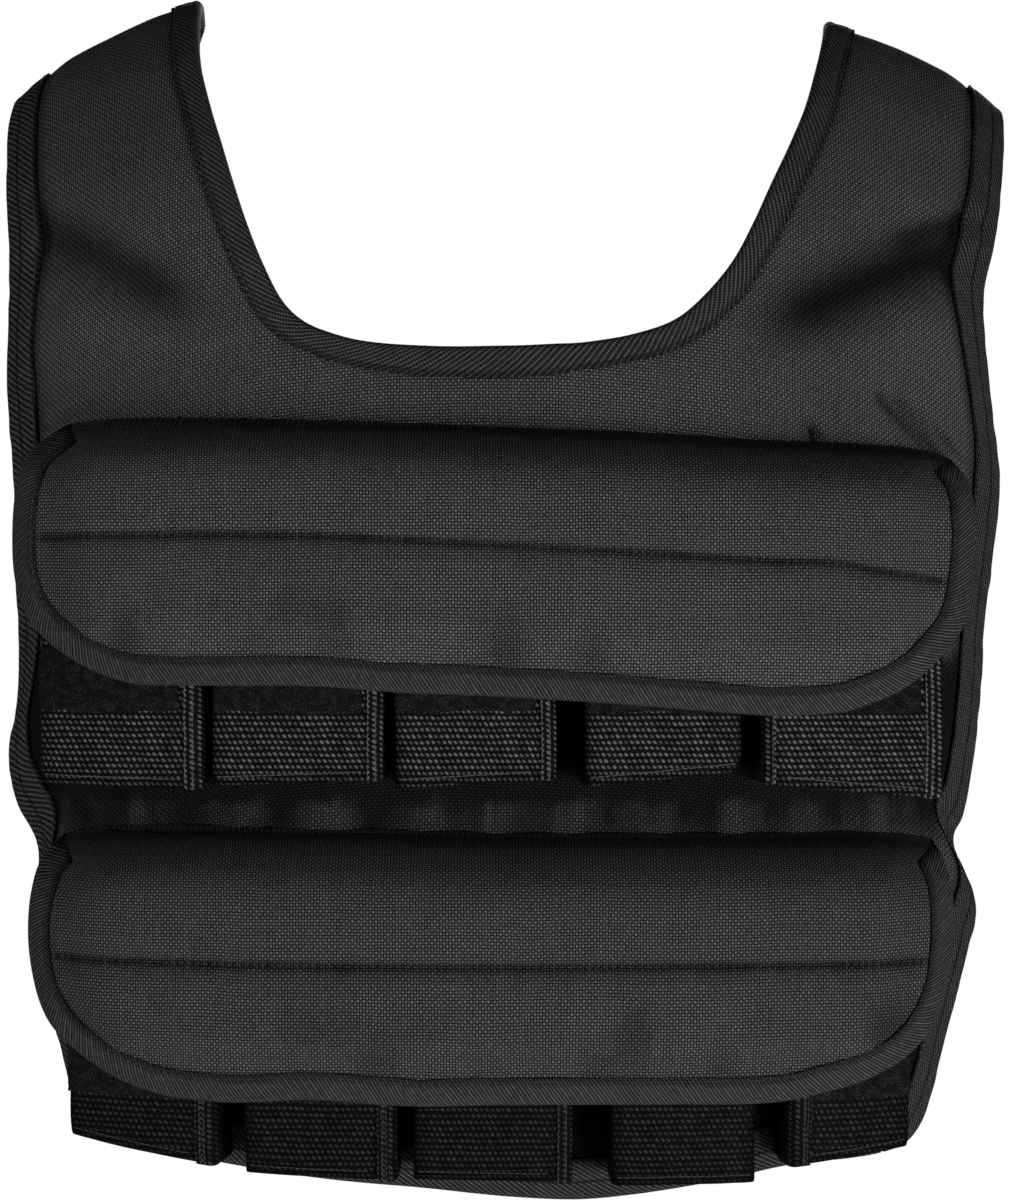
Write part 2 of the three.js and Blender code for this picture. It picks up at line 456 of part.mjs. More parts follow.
function makeFlap(name, spec) {
  const { at, stand } = flapShape(spec);
  const us = [0, 0.032, 0.08, ...evenly(0.17, 0.83, 6), 0.92, 0.968, 1];
  const fs = [0, 0.06, 0.14, 0.26, 0.46, 0.62, 0.78, 0.9, 0.95, 0.985, 1];
  const thick = (u, f) => {
    const near = Math.min(smooth((u - 0.03) / 0.07), smooth((0.97 - u) / 0.07), smooth((0.9 - f) / 0.2), smooth((f - 0.02) / 0.2));
    return mix(FLAP_EDGE, FLAP_PAD, near);
  };
  // the padded flap, or the same form grown by out on its faces and by past at its free edges
  const shell = (out, past, rows) => bentBox(us, rows, [0, 1], (u, f, side) => {
    const p = at(u, f);
    const x = p.x + (u === 1 ? past : u === 0 ? -past : 0);
    const z = p.z - (f === 1 ? past : 0);
    return aimFront(x, z, stand(p.x, p.z) + (side ? thick(u, f) + out : -out));
  });
  add(name, shell(0, 0, fs), cloth);
  // the tape is the grown form, hollowed for the flap and cut back to a border round the free edges
  const middle = bentBox(us.slice(1, -1), [-0.06, ...fs.slice(1, -3)], [-9, 20], (u, f, out) => {
    const p = at(u, f);
    return aimFront(p.x, p.z, stand(p.x, p.z) + out);
  });
  const room = 0.8;
  add(`${name}_binding`, cut(shell(room + TAPE, GAP + TAPE, fs), shell(room, GAP, [-0.03, ...fs]), middle), tape);
}
makeFlap("upper_flap", FLAPS.upper);
makeFlap("lower_flap", FLAPS.lower);

// ---------------------------------------------------------------- pockets and strips
for (const [level, spec] of Object.entries(POCKETS)) {
  spec.row.forEach((p, i) => {
    const low = (x) => mix(p.lowLeft, p.lowRight, (x - p.left) / (p.right - p.left));
    const block = (l, r, lift, top, from, to) => bentBox([l, mix(l, r, 1 / 3), mix(l, r, 2 / 3), r], [0, 1], [from, to],
      (x, f, out) => onFront(x, mix(low(x) + lift, top, f), out));
    add(`pocket_${level}_${i + 1}`, cut(
      block(p.left, p.right, 0, spec.top, POCKET_BACK, POCKET_DEPTH),
      block(p.left + WEBBING, p.right - WEBBING, WEBBING, spec.top + 5, PANEL - 3, POCKET_DEPTH - WEBBING),
    ), webbing);
    const l = p.left + 1.5;
    const r = p.right - 1.5;
    add(`loop_strip_${level}_${i + 1}`, bentBox([l, mix(l, r, 1 / 3), mix(l, r, 2 / 3), r], [spec.strip, spec.strip + 26],
      [POCKET_DEPTH + GAP, POCKET_DEPTH + GAP + STRIP], (x, z, out) => onFront(x, z, out)), fuzzy);
  });
}

// ---------------------------------------------------------------- side belts
for (const [name, sign, frontEdge, backEdge] of [["side_belt_left", -1, -198, -200], ["side_belt_right", 1, 188, 195]]) {
  const under = -GAP - TAPE - 1.3;
  const stops = (z) => {
    const list = [];
    for (const k of [1, 0.66, 0.33, 0]) list.push(onFront(frontEdge - sign * (4 + k * BELTS.under), z, under));
    const a = list.at(-1);
    const tail = [];
    for (const k of [0, 0.33, 0.66, 1]) tail.push(onBack(backEdge - sign * (4 + k * BELTS.under), z, under));
    const b = tail[0];
    for (const k of [0.25, 0.5, 0.75]) list.push(a.clone().lerp(b, k).add(new THREE.Vector3(sign * 5 * Math.sin(Math.PI * k), 0, 0)));
    return [...list, ...tail];
  };
  const high = stops(BELTS.high);
  const low = stops(BELTS.low);
  const rings = high.map((p, i) => {
    const a = high[Math.max(0, i - 1)];
    const b = high[Math.min(high.length - 1, i + 1)];
    const along_ = b.clone().sub(a).setZ(0).normalize();
    const inward = new THREE.Vector3(-along_.y, along_.x, 0).multiplyScalar(sign * BELT);
    return [p, p.clone().add(inward), low[i].clone().add(inward), low[i]];
  });
  add(name, swept(rings), webbing);
}

export default vest;
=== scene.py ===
"""Looks for the weighted vest: woven panels, twill tape, quilted flaps and ribbed webbing pockets."""
import math

import bpy
import numpy as np
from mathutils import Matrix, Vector


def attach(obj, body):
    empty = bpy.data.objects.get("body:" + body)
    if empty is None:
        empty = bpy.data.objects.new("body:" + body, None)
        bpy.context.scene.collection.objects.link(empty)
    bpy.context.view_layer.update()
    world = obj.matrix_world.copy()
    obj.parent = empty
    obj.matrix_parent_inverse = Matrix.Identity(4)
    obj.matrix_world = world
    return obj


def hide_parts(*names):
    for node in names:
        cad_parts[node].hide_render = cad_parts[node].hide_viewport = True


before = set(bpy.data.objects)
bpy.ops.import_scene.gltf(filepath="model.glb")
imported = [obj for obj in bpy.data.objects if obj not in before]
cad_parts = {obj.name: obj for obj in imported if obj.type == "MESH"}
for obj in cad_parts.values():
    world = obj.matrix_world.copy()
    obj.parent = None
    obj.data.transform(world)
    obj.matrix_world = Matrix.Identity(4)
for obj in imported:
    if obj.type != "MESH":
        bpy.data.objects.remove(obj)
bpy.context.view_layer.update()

# ------------------------------------------------------------------ shared sizes, millimetres
PANEL, TAPE, GAP = 3.6, 0.9, 0.4
SIDE_TAPE, NECK_TAPE = 16.0, 12.0
POCKET_DEPTH, WEBBING, POCKET_BACK = 28.0, 2.0, 5.7
FLAP_BASE, FLAP_OVER, FLAP_SIDE, FLAP_EDGE, FLAP_PAD = 6.6, 33.2, 0.66, 3.0, 8.0
STRIP, BELT = 1.2, 2.0
FRONT_DROP, BACK_DROP, SIDE_POWER = 128.0, 110.0, 2.6

CREST = dict(
    x=[-240, -217, -201, -189, -171, -143, -133, -100, 0, 100, 139.7, 155, 175, 193, 205, 218, 240],
    z=[-48.3, -34.3, -20.3, -11.3, -2.3, 10.2, 13.2, 20.7, 26.7, 16.7, 4.2, -1.8, -10.3, -19.3, -28.3, -39.3, -56.3],
)
BODY = dict(
    z=[-500, -420, -330, -230, -150, -60, 40],
    half=[200, 212, 220, 226, 228, 234, 240],
    front=[104, 112, 116, 117, 113, 106, 100],
    back=[86, 90, 95, 98, 98, 96, 92],
)
NECK_FRONT = dict(
    s=[0, 0.25, 0.7, 1, 1.25, 1.5, 1.75, 2, 2.25, 2.55, 2.8, 3.05, 3.4, 4.1, 5, 5.9, 6.6, 6.95, 7.2, 7.45, 7.75, 8,
       8.25, 8.5, 8.75, 9, 9.3, 9.75, 10],
    x=[-134.5, -133.5, -131.7, -129.4, -124.5, -118.7, -113.3, -107.6, -100.9, -92.2, -83.2, -71.8, -58.8, -32.3,
       -3.2, 18.1, 36.1, 53, 66.9, 77.9, 91.9, 101, 108.7, 117.1, 124.7, 130.7, 134.7, 138.5, 140],
    drop=[-0.15, 0, 0.295, 0.474, 0.605, 0.716, 0.814, 0.905, 0.993, 1.081, 1.128, 1.158, 1.18, 1.198, 1.199, 1.192,
          1.18, 1.157, 1.125, 1.076, 0.983, 0.891, 0.796, 0.688, 0.566, 0.416, 0.27, 0, -0.15],
)
OUTER_FRONT = dict(
    s=[0, 0.25, 0.7, 1.1, 1.4, 1.65, 1.95, 2.1, 2.25, 2.5, 2.7, 2.83, 2.95, 3.05, 3.18, 3.28, 3.42, 3.55, 3.68, 3.78,
       3.86, 3.95, 4.2, 4.5, 4.75, 5, 5.25, 5.5, 5.8, 6.05, 6.14, 6.22, 6.32, 6.45, 6.58, 6.72, 6.82, 6.92, 7.05,
       7.17, 7.3, 7.5, 7.75, 7.95, 8.1, 8.25, 8.4, 8.6, 8.9, 9.3, 9.75, 10],
    x=[-210.9, -210.5, -211.5, -210.4, -207.9, -207.5, -207.9, -206.4, -204.8, -203.7, -202.4, -203.2, -206.8, -205,
       -194, -194.5, -193, -189, -182.5, -177.5, -171, -158.9, -114.4, -72.4, -30, 5, 37.4, 78.1, 119.4, 151.5, 163.2,
       169.5, 173.6, 177.8, 183, 190, 193.8, 183, 187.5, 190.9, 193.6, 196, 200.9, 202.9, 199.7, 196.9, 196.2, 200.6,
       205.6, 210.1, 211.6, 211.1],
    drop=[-0.15, 0, 0.283, 0.523, 0.697, 0.836, 1.005, 1.097, 1.188, 1.361, 1.536, 1.658, 1.77, 1.863, 2.016, 2.103,
          2.238, 2.36, 2.5, 2.595, 2.65, 2.704, 2.803, 2.859, 2.889, 2.906, 2.901, 2.853, 2.771, 2.704, 2.664, 2.615,
          2.55, 2.46, 2.35, 2.2, 2.105, 2.01, 1.93, 1.83, 1.7, 1.54, 1.32, 1.179, 1.05, 0.94, 0.84, 0.713, 0.56, 0.3,
          0, -0.15],
)
NECK_BACK = dict(
    s=[0, 0.8, 1.1, 1.4, 1.65, 1.95, 2.3, 2.65, 2.9, 3.4, 4.1, 5, 5.9, 6.6, 6.95, 7.2, 7.5, 7.85, 8.15, 8.45, 8.75,
       9.05, 9.35, 10],
    x=[-134.6, -139.7, -137.1, -132.5, -127.5, -121.5, -114.5, -105, -94, -68, -38, 0, 28, 52, 68, 83, 96, 109, 118.5,
       126, 133.5, 139, 142.2, 140.1],
    drop=[-0.154, -0.36, -0.51, -0.64, -0.756, -0.87, -0.98, -1.11, -1.18, -1.25, -1.28, -1.283, -1.274, -1.243,
          -1.21, -1.16, -1.09, -0.955, -0.84, -0.72, -0.595, -0.45, -0.3, -0.154],
)
OUTER_BACK = dict(
    s=[0, 0.8, 1.5, 2.2, 2.8, 3.3, 3.65, 3.8, 3.9, 4.1, 4.5, 5, 5.5, 5.9, 6.1, 6.2, 6.35, 6.7, 7.2, 7.8, 8.5, 9.2, 10],
    x=[-210.9, -209.9, -207.9, -206.9, -204.9, -199.9, -188.9, -181, -169.8, -140, -75, 0, 75, 138, 165.9, 175, 182.6,
       194.5, 200.5, 203.5, 205.5, 209, 212],
    drop=[-0.154, -0.45, -0.85, -1.35, -1.9, -2.4, -2.8, -2.95, -3.03, -3.11, -3.22, -3.27, -3.19, -3.05, -2.97,
          -2.89, -2.75, -2.35, -1.85, -1.32, -0.83, -0.45, -0.154],
)
FLAPS = dict(
    upper=dict(
        left=-193, right=180.5, edge_left=-206, edge_right=193,
        top=dict(x=[-190, -166, -83, -3, 57, 109, 142, 172, 184],
                 z=[-171.5, -169.4, -170.8, -173.8, -176.2, -179.1, -179.8, -182, -185]),
        bottom=dict(x=[-150, -114, -78, -41, -3, 35, 72, 108, 133, 145],
                    z=[-276.4, -276.6, -276.8, -279.3, -280.8, -283.1, -285.9, -288.4, -287.3, -286]),
        sides=dict(f=[0, 0.1, 0.25, 0.44, 0.6, 0.7, 0.78, 0.85, 0.91, 0.955, 0.985, 1],
                   left=[-181, -194.8, -201.4, -203.6, -202.2, -198.6, -193, -185.2, -175.8, -166, -156.5, -148.5],
                   right=[182, 188.5, 190.5, 190, 187.6, 183.5, 177, 170, 162, 153, 143.5, 134.5]),
        seam=dict(x=[-195, -80, -3, 60, 107, 130, 141, 154, 165, 185],
                  z=[-217.6, -218.6, -222.3, -225.5, -228.2, -228.6, -230.4, -232.2, -233.8, -236.5]),
    ),
    lower=dict(
        left=-183.5, right=167.5, edge_left=-200, edge_right=184,
        top=dict(x=[-183, -176, -83, -3, 101, 159, 178], z=[-339.6, -337.6, -335.6, -337.2, -337.8, -339, -342.5]),
        bottom=dict(x=[-138, -113, -78, -41, -3, 72, 104, 125],
                    z=[-438.7, -440.3, -438.7, -440.8, -440.3, -440.3, -440.3, -438]),
        sides=dict(f=[0, 0.08, 0.21, 0.4, 0.55, 0.68, 0.77, 0.85, 0.91, 0.955, 0.985, 1],
                   left=[-183.5, -191.5, -195.8, -197.8, -196, -191.4, -184.2, -175, -165.4, -155, -145, -137],
                   right=[175.5, 179.5, 181.8, 182, 180.4, 176, 170.6, 163, 153.4, 142.5, 130, 121]),
        seam=dict(x=[-190, -90, -3, 80, 180], z=[-385.2, -386.0, -386.4, -386.2, -386.6]),
    ),
)
# pockets: side edges, bottom height at each side, and which front edges carry the ribbed edge strip
POCKETS = dict(
    upper=dict(top=-214.0, strip=-287.5, row=[
        dict(left=-176.5, right=-116.2, low_left=-316.2, low_right=-317.6, strip="right"),
        dict(left=-112.4, right=-48.2, low_left=-316.4, low_right=-313.8, strip="right"),
        dict(left=-44.4, right=18.2, low_left=-317.2, low_right=-313.4, strip="right"),
        dict(left=29.2, right=89.2, low_left=-316.6, low_right=-310.6, strip=""),
        dict(left=97.7, right=163.6, low_left=-315.6, low_right=-322.4, strip="both"),
    ]),
    lower=dict(top=-371.0, strip=-441.0, row=[
        dict(left=-165.3, right=-110.8, low_left=-458.6, low_right=-468.0, strip="right"),
        dict(left=-100.4, right=-43.4, low_left=-470.2, low_right=-472.2, strip="right"),
        dict(left=-37.3, right=24.7, low_left=-471.8, low_right=-472.6, strip="right"),
        dict(left=39.3, right=94.5, low_left=-474.4, low_right=-474.2, strip=""),
        dict(left=106.5, right=151.4, low_left=-468.2, low_right=-462.4, strip="left"),
    ]),
)
# soft creases of the front panel: a line from one point to another, its half width, its depth and, for the valleys, the
# strength of their painted shade
CREASES = [
    dict(x0=-205, d0=0.66, x1=-128, d1=1.06, wide=12, deep=-4.9, dark=0.74),
    dict(x0=-196, d0=0.90, x1=-120, d1=1.13, wide=12, deep=1.8),
    dict(x0=196, d0=0.73, x1=104, d1=1.11, wide=16, deep=-4.4, dark=1.0),
    dict(x0=190, d0=0.90, x1=100, d1=1.17, wide=13, deep=1.8),
    dict(x0=196, d0=0.66, x1=158, d1=0.82, wide=5, deep=-1.6, dark=0.45),
    dict(x0=150, d0=1.155, x1=182, d1=1.235, wide=3.6, deep=-2.0, dark=0.8),
    dict(x0=158, d0=1.14, x1=186, d1=1.20, wide=3.0, deep=-1.3, dark=0.6),
    dict(x0=124.2, d0=1.262, x1=124.4, d1=1.31, wide=2.4, deep=-1.9, dark=0.75),
    dict(x0=118, d0=1.275, x1=131, d1=1.285, wide=2.2, deep=-1.0, dark=0.4),
]
# vertical puckers in the strip of front panel that shows between the two rows
PUCKERS = dict(
    x=[-184, -163, -146, -131, -112, -95, -84, -71, -56, -38, -22, -4, 14, 27, 46, 62, 80, 96, 104, 121, 138, 152, 170],
    up=[1.6, -1.2, 1.3, -1.5, 1.7, -0.9, 1.1, 1.7, -1.5, 1.2, -1.3, 1.6, -1.5, 1.7, -1.2, 1.4, -1.4, 1.8, -1.6, 1.2,
        -1.1, 1.3, -1.2],
)


# ------------------------------------------------------------------ tables and surfaces
def along(table, key, col, at):
    k, y = np.asarray(table[key], float), np.asarray(table[col], float)
    at = np.asarray(at, float)
    seg = np.diff(y) / np.diff(k)
    slope = np.concatenate([[seg[0]], 0.5 * (seg[:-1] + seg[1:]), [seg[-1]]])
    i = np.clip(np.searchsorted(k, at, side="left") - 1, 0, len(k) - 2)
    h = k[i + 1] - k[i]
    t = (at - k[i]) / h
    v = ((2 * t ** 3 - 3 * t * t + 1) * y[i] + (t ** 3 - 2 * t * t + t) * h * slope[i]
         + (3 * t * t - 2 * t ** 3) * y[i + 1] + (t ** 3 - t * t) * h * slope[i + 1])
    v = np.where(at <= k[0], y[0] + (at - k[0]) * seg[0], v)
    return np.where(at >= k[-1], y[-1] + (at - k[-1]) * seg[-1], v)


def smooth(t):
    c = np.clip(t, 0, 1)
    return c * c * (3 - 2 * c)


def mix(a, b, t):
    return a + (b - a) * t


def unit(v):
    return v / np.maximum(np.linalg.norm(v, axis=-1, keepdims=True), 1e-12)


def lattice(ix, iy, seed):
    n = (ix * 374761393 + iy * 668265263 + seed * 362437) & 0xFFFFFFFF
    n = ((n ^ (n >> 13)) * 1274126177) & 0xFFFFFFFF
    return ((n ^ (n >> 16)) & 0xFFFF) / 65535.0


def noise(x, y, seed=0):
    """Smooth noise from -1 to 1."""
    x, y = np.broadcast_arrays(np.asarray(x, float), np.asarray(y, float))
    ix, iy = np.floor(x).astype(np.int64), np.floor(y).astype(np.int64)
    fx, fy = x - ix, y - iy
    fx, fy = fx ** 3 * (fx * (6 * fx - 15) + 10), fy ** 3 * (fy * (6 * fy - 15) + 10)
    a, b = lattice(ix, iy, seed), lattice(ix + 1, iy, seed)
    c, d = lattice(ix, iy + 1, seed), lattice(ix + 1, iy + 1, seed)
    return 2 * mix(mix(a, b, fx), mix(c, d, fx), fy) - 1


def cloud(x, y, seed=0, octaves=3):
    total, size = 0, 1.0
    for k in range(octaves):
        total = total + noise(x / size + 17.3 * k, y / size - 9.1 * k, seed + k) * size
        size *= 0.5
    return total / 1.75


def body(x, drop):
    """The inner face of the worn vest."""
    x, drop = np.broadcast_arrays(np.asarray(x, float), np.asarray(drop, float))
    ahead = drop >= 0
    d = np.abs(drop)
    fall = np.where(ahead, FRONT_DROP, BACK_DROP)
    turn = np.minimum(d, 1) * np.pi / 2
    z = along(CREST, "x", "z", x) - fall * (1 - np.cos(turn)) - fall * np.pi / 2 * np.maximum(0, d - 1)
    half = along(BODY, "z", "half", z)
    deep = np.where(ahead, along(BODY, "z", "front", z), along(BODY, "z", "back", z))
    q = np.minimum(np.abs(x) / half, 0.999)
    y = deep * np.sqrt(1 - q ** SIDE_POWER) * np.sin(turn)
    return np.stack([x, np.where(ahead, -y, y), z], -1)


def on_body(x, drop, out):
    """A point out from that face."""
    a = body(x + 0.5, drop) - body(x - 0.5, drop)
    b = body(x, drop + 0.004) - body(x, drop - 0.004)
    n = unit(np.cross(b, a))
    return body(x, drop) + n * np.asarray(out, float)[..., None]


def drop_at(x, z):
    return 1 + (along(CREST, "x", "z", x) - FRONT_DROP - z) / (FRONT_DROP * np.pi / 2)


def on_front(x, z, out):
    x, z, out = np.broadcast_arrays(np.asarray(x, float), np.asarray(z, float), np.asarray(out, float))
    return on_body(x, drop_at(x, z), out)


def aim_front(x, z, out):
    """The same, by the point's own x instead of the x of its foot on the body."""
    x, z, out = np.broadcast_arrays(np.asarray(x, float), np.asarray(z, float), np.asarray(out, float))
    foot = x
    for _ in range(6):
        foot = foot + x - on_front(foot, z, out)[..., 0]
    return on_front(foot, z, out)


def on_back(x, z, out):
    x, z, out = np.broadcast_arrays(np.asarray(x, float), np.asarray(z, float), np.asarray(out, float))
    return on_body(x, -1 - (along(CREST, "x", "z", x) - BACK_DROP - z) / (BACK_DROP * np.pi / 2), out)


# thread directions of the panels: distance across and down the surface from a table of it
_gx = np.arange(-250, 251, 5.0)
_gd = np.arange(-3.6, 3.61, 0.02)
_gp = body(_gx[:, None], _gd[None, :])
_gv = np.concatenate([np.zeros((len(_gx), 1)), np.cumsum(np.linalg.norm(np.diff(_gp, axis=1), axis=2), axis=1)], 1)
_gv -= _gv[:, [np.argmin(abs(_gd - 1.2))]]
_gu = np.concatenate([np.zeros((1, len(_gd))), np.cumsum(np.linalg.norm(np.diff(_gp, axis=0), axis=2), axis=0)], 0)
_gu -= _gu[[np.argmin(abs(_gx))], :]


def thread_place(x, drop):
    a = np.clip((np.asarray(x, float) + 250) / 5, 0, len(_gx) - 1.001)
    b = np.clip((np.asarray(drop, float) + 3.6) / 0.02, 0, len(_gd) - 1.001)
    i, j = a.astype(int), b.astype(int)
    p, q = a - i, b - j

    def read(g):
        return (g[i, j] * (1 - p) + g[i + 1, j] * p) * (1 - q) + (g[i, j + 1] * (1 - p) + g[i + 1, j + 1] * p) * q
    return np.stack([read(_gu), -read(_gv)], -1)


def drape(x, drop):
    """How far the panels leave that face: creases, and a slow unevenness."""
    x, drop = np.broadcast_arrays(np.asarray(x, float), np.asarray(drop, float))
    down = drop * 201.0
    total = 0.55 * cloud(x / 62, down / 62, 3) + 0.22 * noise(x / 19, down / 23, 8)
    for c in CREASES:
        ax, ay, bx, by = c["x0"], c["d0"] * 201, c["x1"], c["d1"] * 201
        long = math.hypot(bx - ax, by - ay)
        ux, uy = (bx - ax) / long, (by - ay) / long
        t = ((x - ax) * ux + (down - ay) * uy) / long
        off = (x - ax) * uy - (down - ay) * ux + 2.5 * noise(t * 3, 0.5, 5)
        # the wide ones begin inside the tape, which lies flat
        first = smooth((t + 0.10) / 0.16) if c["wide"] < 10 else smooth((t - 0.04) / 0.24)
        fade = first * smooth((1.12 - t) / 0.5)
        total = total + c["deep"] * np.exp(-(off / c["wide"]) ** 2) * fade
    ahead = drop > 0
    return np.where(ahead, total, 0.9 * cloud(x / 70, down / 90, 21) + 0.25 * noise(x / 21, down / 25, 9))


def crease_painted_shade(x, drop):
    """Painted shade of the front panel's crease valleys, from 0 to 1."""
    x, drop = np.broadcast_arrays(np.asarray(x, float), np.asarray(drop, float))
    down = drop * 201.0
    total = 0.0 * down
    for c in CREASES:
        if c["deep"] > 0:
            continue
        ax, ay, bx, by = c["x0"], c["d0"] * 201, c["x1"], c["d1"] * 201
        long = math.hypot(bx - ax, by - ay)
        ux, uy = (bx - ax) / long, (by - ay) / long
        t = ((x - ax) * ux + (down - ay) * uy) / long
        off = (x - ax) * uy - (down - ay) * ux + 2.5 * noise(t * 3, 0.5, 5)
        fade = smooth((t + 0.10) / 0.16) * smooth((1.15 - t) / 0.38)
        total = total + c["dark"] * np.exp(-(off / (0.72 * c["wide"])) ** 2) * fade
    return np.where(drop > 0, total, 0.0)


def pucker(x, z):
    """Gathers of the front panel in the strip between the rows."""
    tall = np.exp(-((z + 329) / 13.0) ** 2)
    wander = 5 * noise(x / 30, z / 30, 31) + (z + 329) * 0.22 * noise(x / 26, 2.5, 33)
    return tall * along(PUCKERS, "x", "up", x + wander) * 1.05


# ------------------------------------------------------------------ meshes
pieces = {}


def object_from(name, points, faces, uv, mats, face_mats=None, sharp=50, painted_shade=None):
    me = bpy.data.meshes.new(name)
    me.from_pydata((np.asarray(points, float) * 0.001).tolist(), [], [list(map(int, f)) for f in faces])
    layer = me.uv_layers.new(name="weave")
    loop_vertex = np.zeros(len(me.loops), np.int32)
    me.loops.foreach_get("vertex_index", loop_vertex)
    layer.uv.foreach_set("vector", np.asarray(uv, np.float32)[loop_vertex].ravel())
    # painted shade: a mark from 0 to 1 by which the materials darken the colour
    if painted_shade is not None:
        me.attributes.new("painted_shade", "FLOAT", "POINT").data.foreach_set("value", np.asarray(painted_shade, np.float32).ravel())
    for m in mats:
        me.materials.append(m)
    if face_mats is not None:
        me.polygons.foreach_set("material_index", np.asarray(face_mats, np.int32))
    me.polygons.foreach_set("use_smooth", np.ones(len(me.polygons), bool))
    me.update()
    me.set_sharp_from_angle(angle=math.radians(sharp))
    ob = bpy.data.objects.new(name, me)
    bpy.context.scene.collection.objects.link(ob)
    pieces[name] = ob
    return ob


def shell_parts(outer, inner, uv_outer, uv_inner=None, loop=False):
    """A closed thin shell between two grids of points of the same size."""
    n, m = outer.shape[:2]
    uv_inner = uv_outer if uv_inner is None else uv_inner
    index = np.arange(n * m).reshape(n, m)
    rows = np.arange(n if loop else n - 1)
    nxt = (rows + 1) % n
    a = index[rows][:, :-1]
    b = index[nxt][:, :-1]
    c = index[nxt][:, 1:]
    d = index[rows][:, 1:]
    quads = np.stack([a, b, c, d], -1).reshape(-1, 4)
    under = quads[:, ::-1] + n * m
    rim = []
    for j, flip in ((0, False), (m - 1, True)):
        e0, e1 = index[rows, j], index[nxt, j]
        r = np.stack([e1, e0, e0 + n * m, e1 + n * m], -1)
        rim.append(r[:, ::-1] if flip else r)
    if not loop:
        for i, flip in ((0, True), (n - 1, False)):
            e0, e1 = index[i, :-1], index[i, 1:]
            r = np.stack([e1, e0, e0 + n * m, e1 + n * m], -1)
            rim.append(r[:, ::-1] if flip else r)
    points = np.concatenate([outer.reshape(-1, 3), inner.reshape(-1, 3)])
    uv = np.concatenate([uv_outer.reshape(-1, 2), uv_inner.reshape(-1, 2)])
    faces = np.concatenate([quads, under, *rim])
    p = points[faces]
    six = np.einsum("ij,ij->i", p[:, 0], np.cross(p[:, 1], p[:, 2])) + np.einsum("ij,ij->i", p[:, 0], np.cross(p[:, 2], p[:, 3]))
    if six.sum() < 0:
        faces = faces[:, ::-1]
    return points, faces, uv


def shell(name, outer, inner, uv, mat, uv_inner=None, loop=False, sharp=50, painted_shade=None):
    points, faces, uvs = shell_parts(outer, inner, uv, uv_inner, loop)
    if painted_shade is not None:
        painted_shade = np.concatenate([np.ravel(painted_shade), np.ravel(painted_shade)])
    return object_from(name, points, faces, uvs, [mat], sharp=sharp, painted_shade=painted_shade)


class Many:
    """Collects closed bits that make one piece."""

    def __init__(self):
        self.points, self.faces, self.uv, self.mats, self.count = [], [], [], [], 0
        self.painted_shade = []

    def add(self, points, faces, uv, mat=0, painted_shade=None):
        self.points.append(np.asarray(points, float))
        self.faces.extend([[int(i) + self.count for i in f] for f in faces])
        self.uv.append(np.asarray(uv, float))
        self.mats.extend([mat] * len(faces))
        self.painted_shade.append(np.zeros(len(points)) if painted_shade is None else painted_shade)
        self.count += len(points)

    def shell(self, outer, inner, uv, mat=0, uv_inner=None, loop=False, painted_shade=None):
        points, faces, uvs = shell_parts(outer, inner, uv, uv_inner, loop)
        self.add(points, faces, uvs, mat, None if painted_shade is None else np.concatenate([np.ravel(painted_shade), np.ravel(painted_shade)]))

    def build(self, name, mats, sharp=50):
        return object_from(name, np.concatenate(self.points), self.faces, np.concatenate(self.uv), mats, self.mats, sharp,
                           np.concatenate(self.painted_shade))


def stitch_row(many, path, normal, pitch=3.3, share=0.74, radius=0.3, lift=0.12, mat=0, sink=0.0, seed=1):
    """Lockstitches along a path: each is a short thread that dips at both ends."""
    step = np.linalg.norm(np.diff(path, axis=0), axis=1)
    run = np.concatenate([[0], np.cumsum(step)])
    total = run[-1]
    count = int(total / pitch)
    if count < 1:
        return
    ring = np.linspace(0, 2 * np.pi, 6)[:-1]
    for k in range(count):
        s0 = (k + 0.5 * (1 - share)) * total / count
        s1 = s0 + share * total / count
        at = np.linspace(s0, s1, 5)
        line = np.stack([np.interp(at, run, path[:, c]) for c in range(3)], -1)
        up = unit(np.stack([np.interp(at, run, normal[:, c]) for c in range(3)], -1))
        t = np.linspace(-1, 1, 5)
        thick = radius * np.sqrt(np.clip(1 - (t * 0.93) ** 4, 0.02, 1))
        bow = lift * (1 - t * t) - sink
        line = line + up * bow[:, None]
        tangent = unit(np.gradient(line, axis=0))
        side = unit(np.cross(tangent, up))
        top = np.cross(side, tangent)
        wobble = 0.06 * (lattice(np.int64(k), np.int64(seed), 5) - 0.5)
        ringpts = (line[:, None] + side[:, None] * (np.cos(ring)[None, :, None] * thick[:, None, None] + wobble)
                   + top[:, None] * (np.sin(ring)[None, :, None] * thick[:, None, None] * 0.8))
        pts = ringpts.reshape(-1, 3)
        faces = []
        for i in range(4):
            for j in range(5):
                l = (j + 1) % 5
                faces.append([i * 5 + j, i * 5 + l, (i + 1) * 5 + l, (i + 1) * 5 + j])
        faces.append([4, 3, 2, 1, 0])
        faces.append([20, 21, 22, 23, 24])
        uv = np.stack([np.repeat(at, 5), np.tile(ring, 5)], -1)
        many.add(pts, faces, uv, mat)


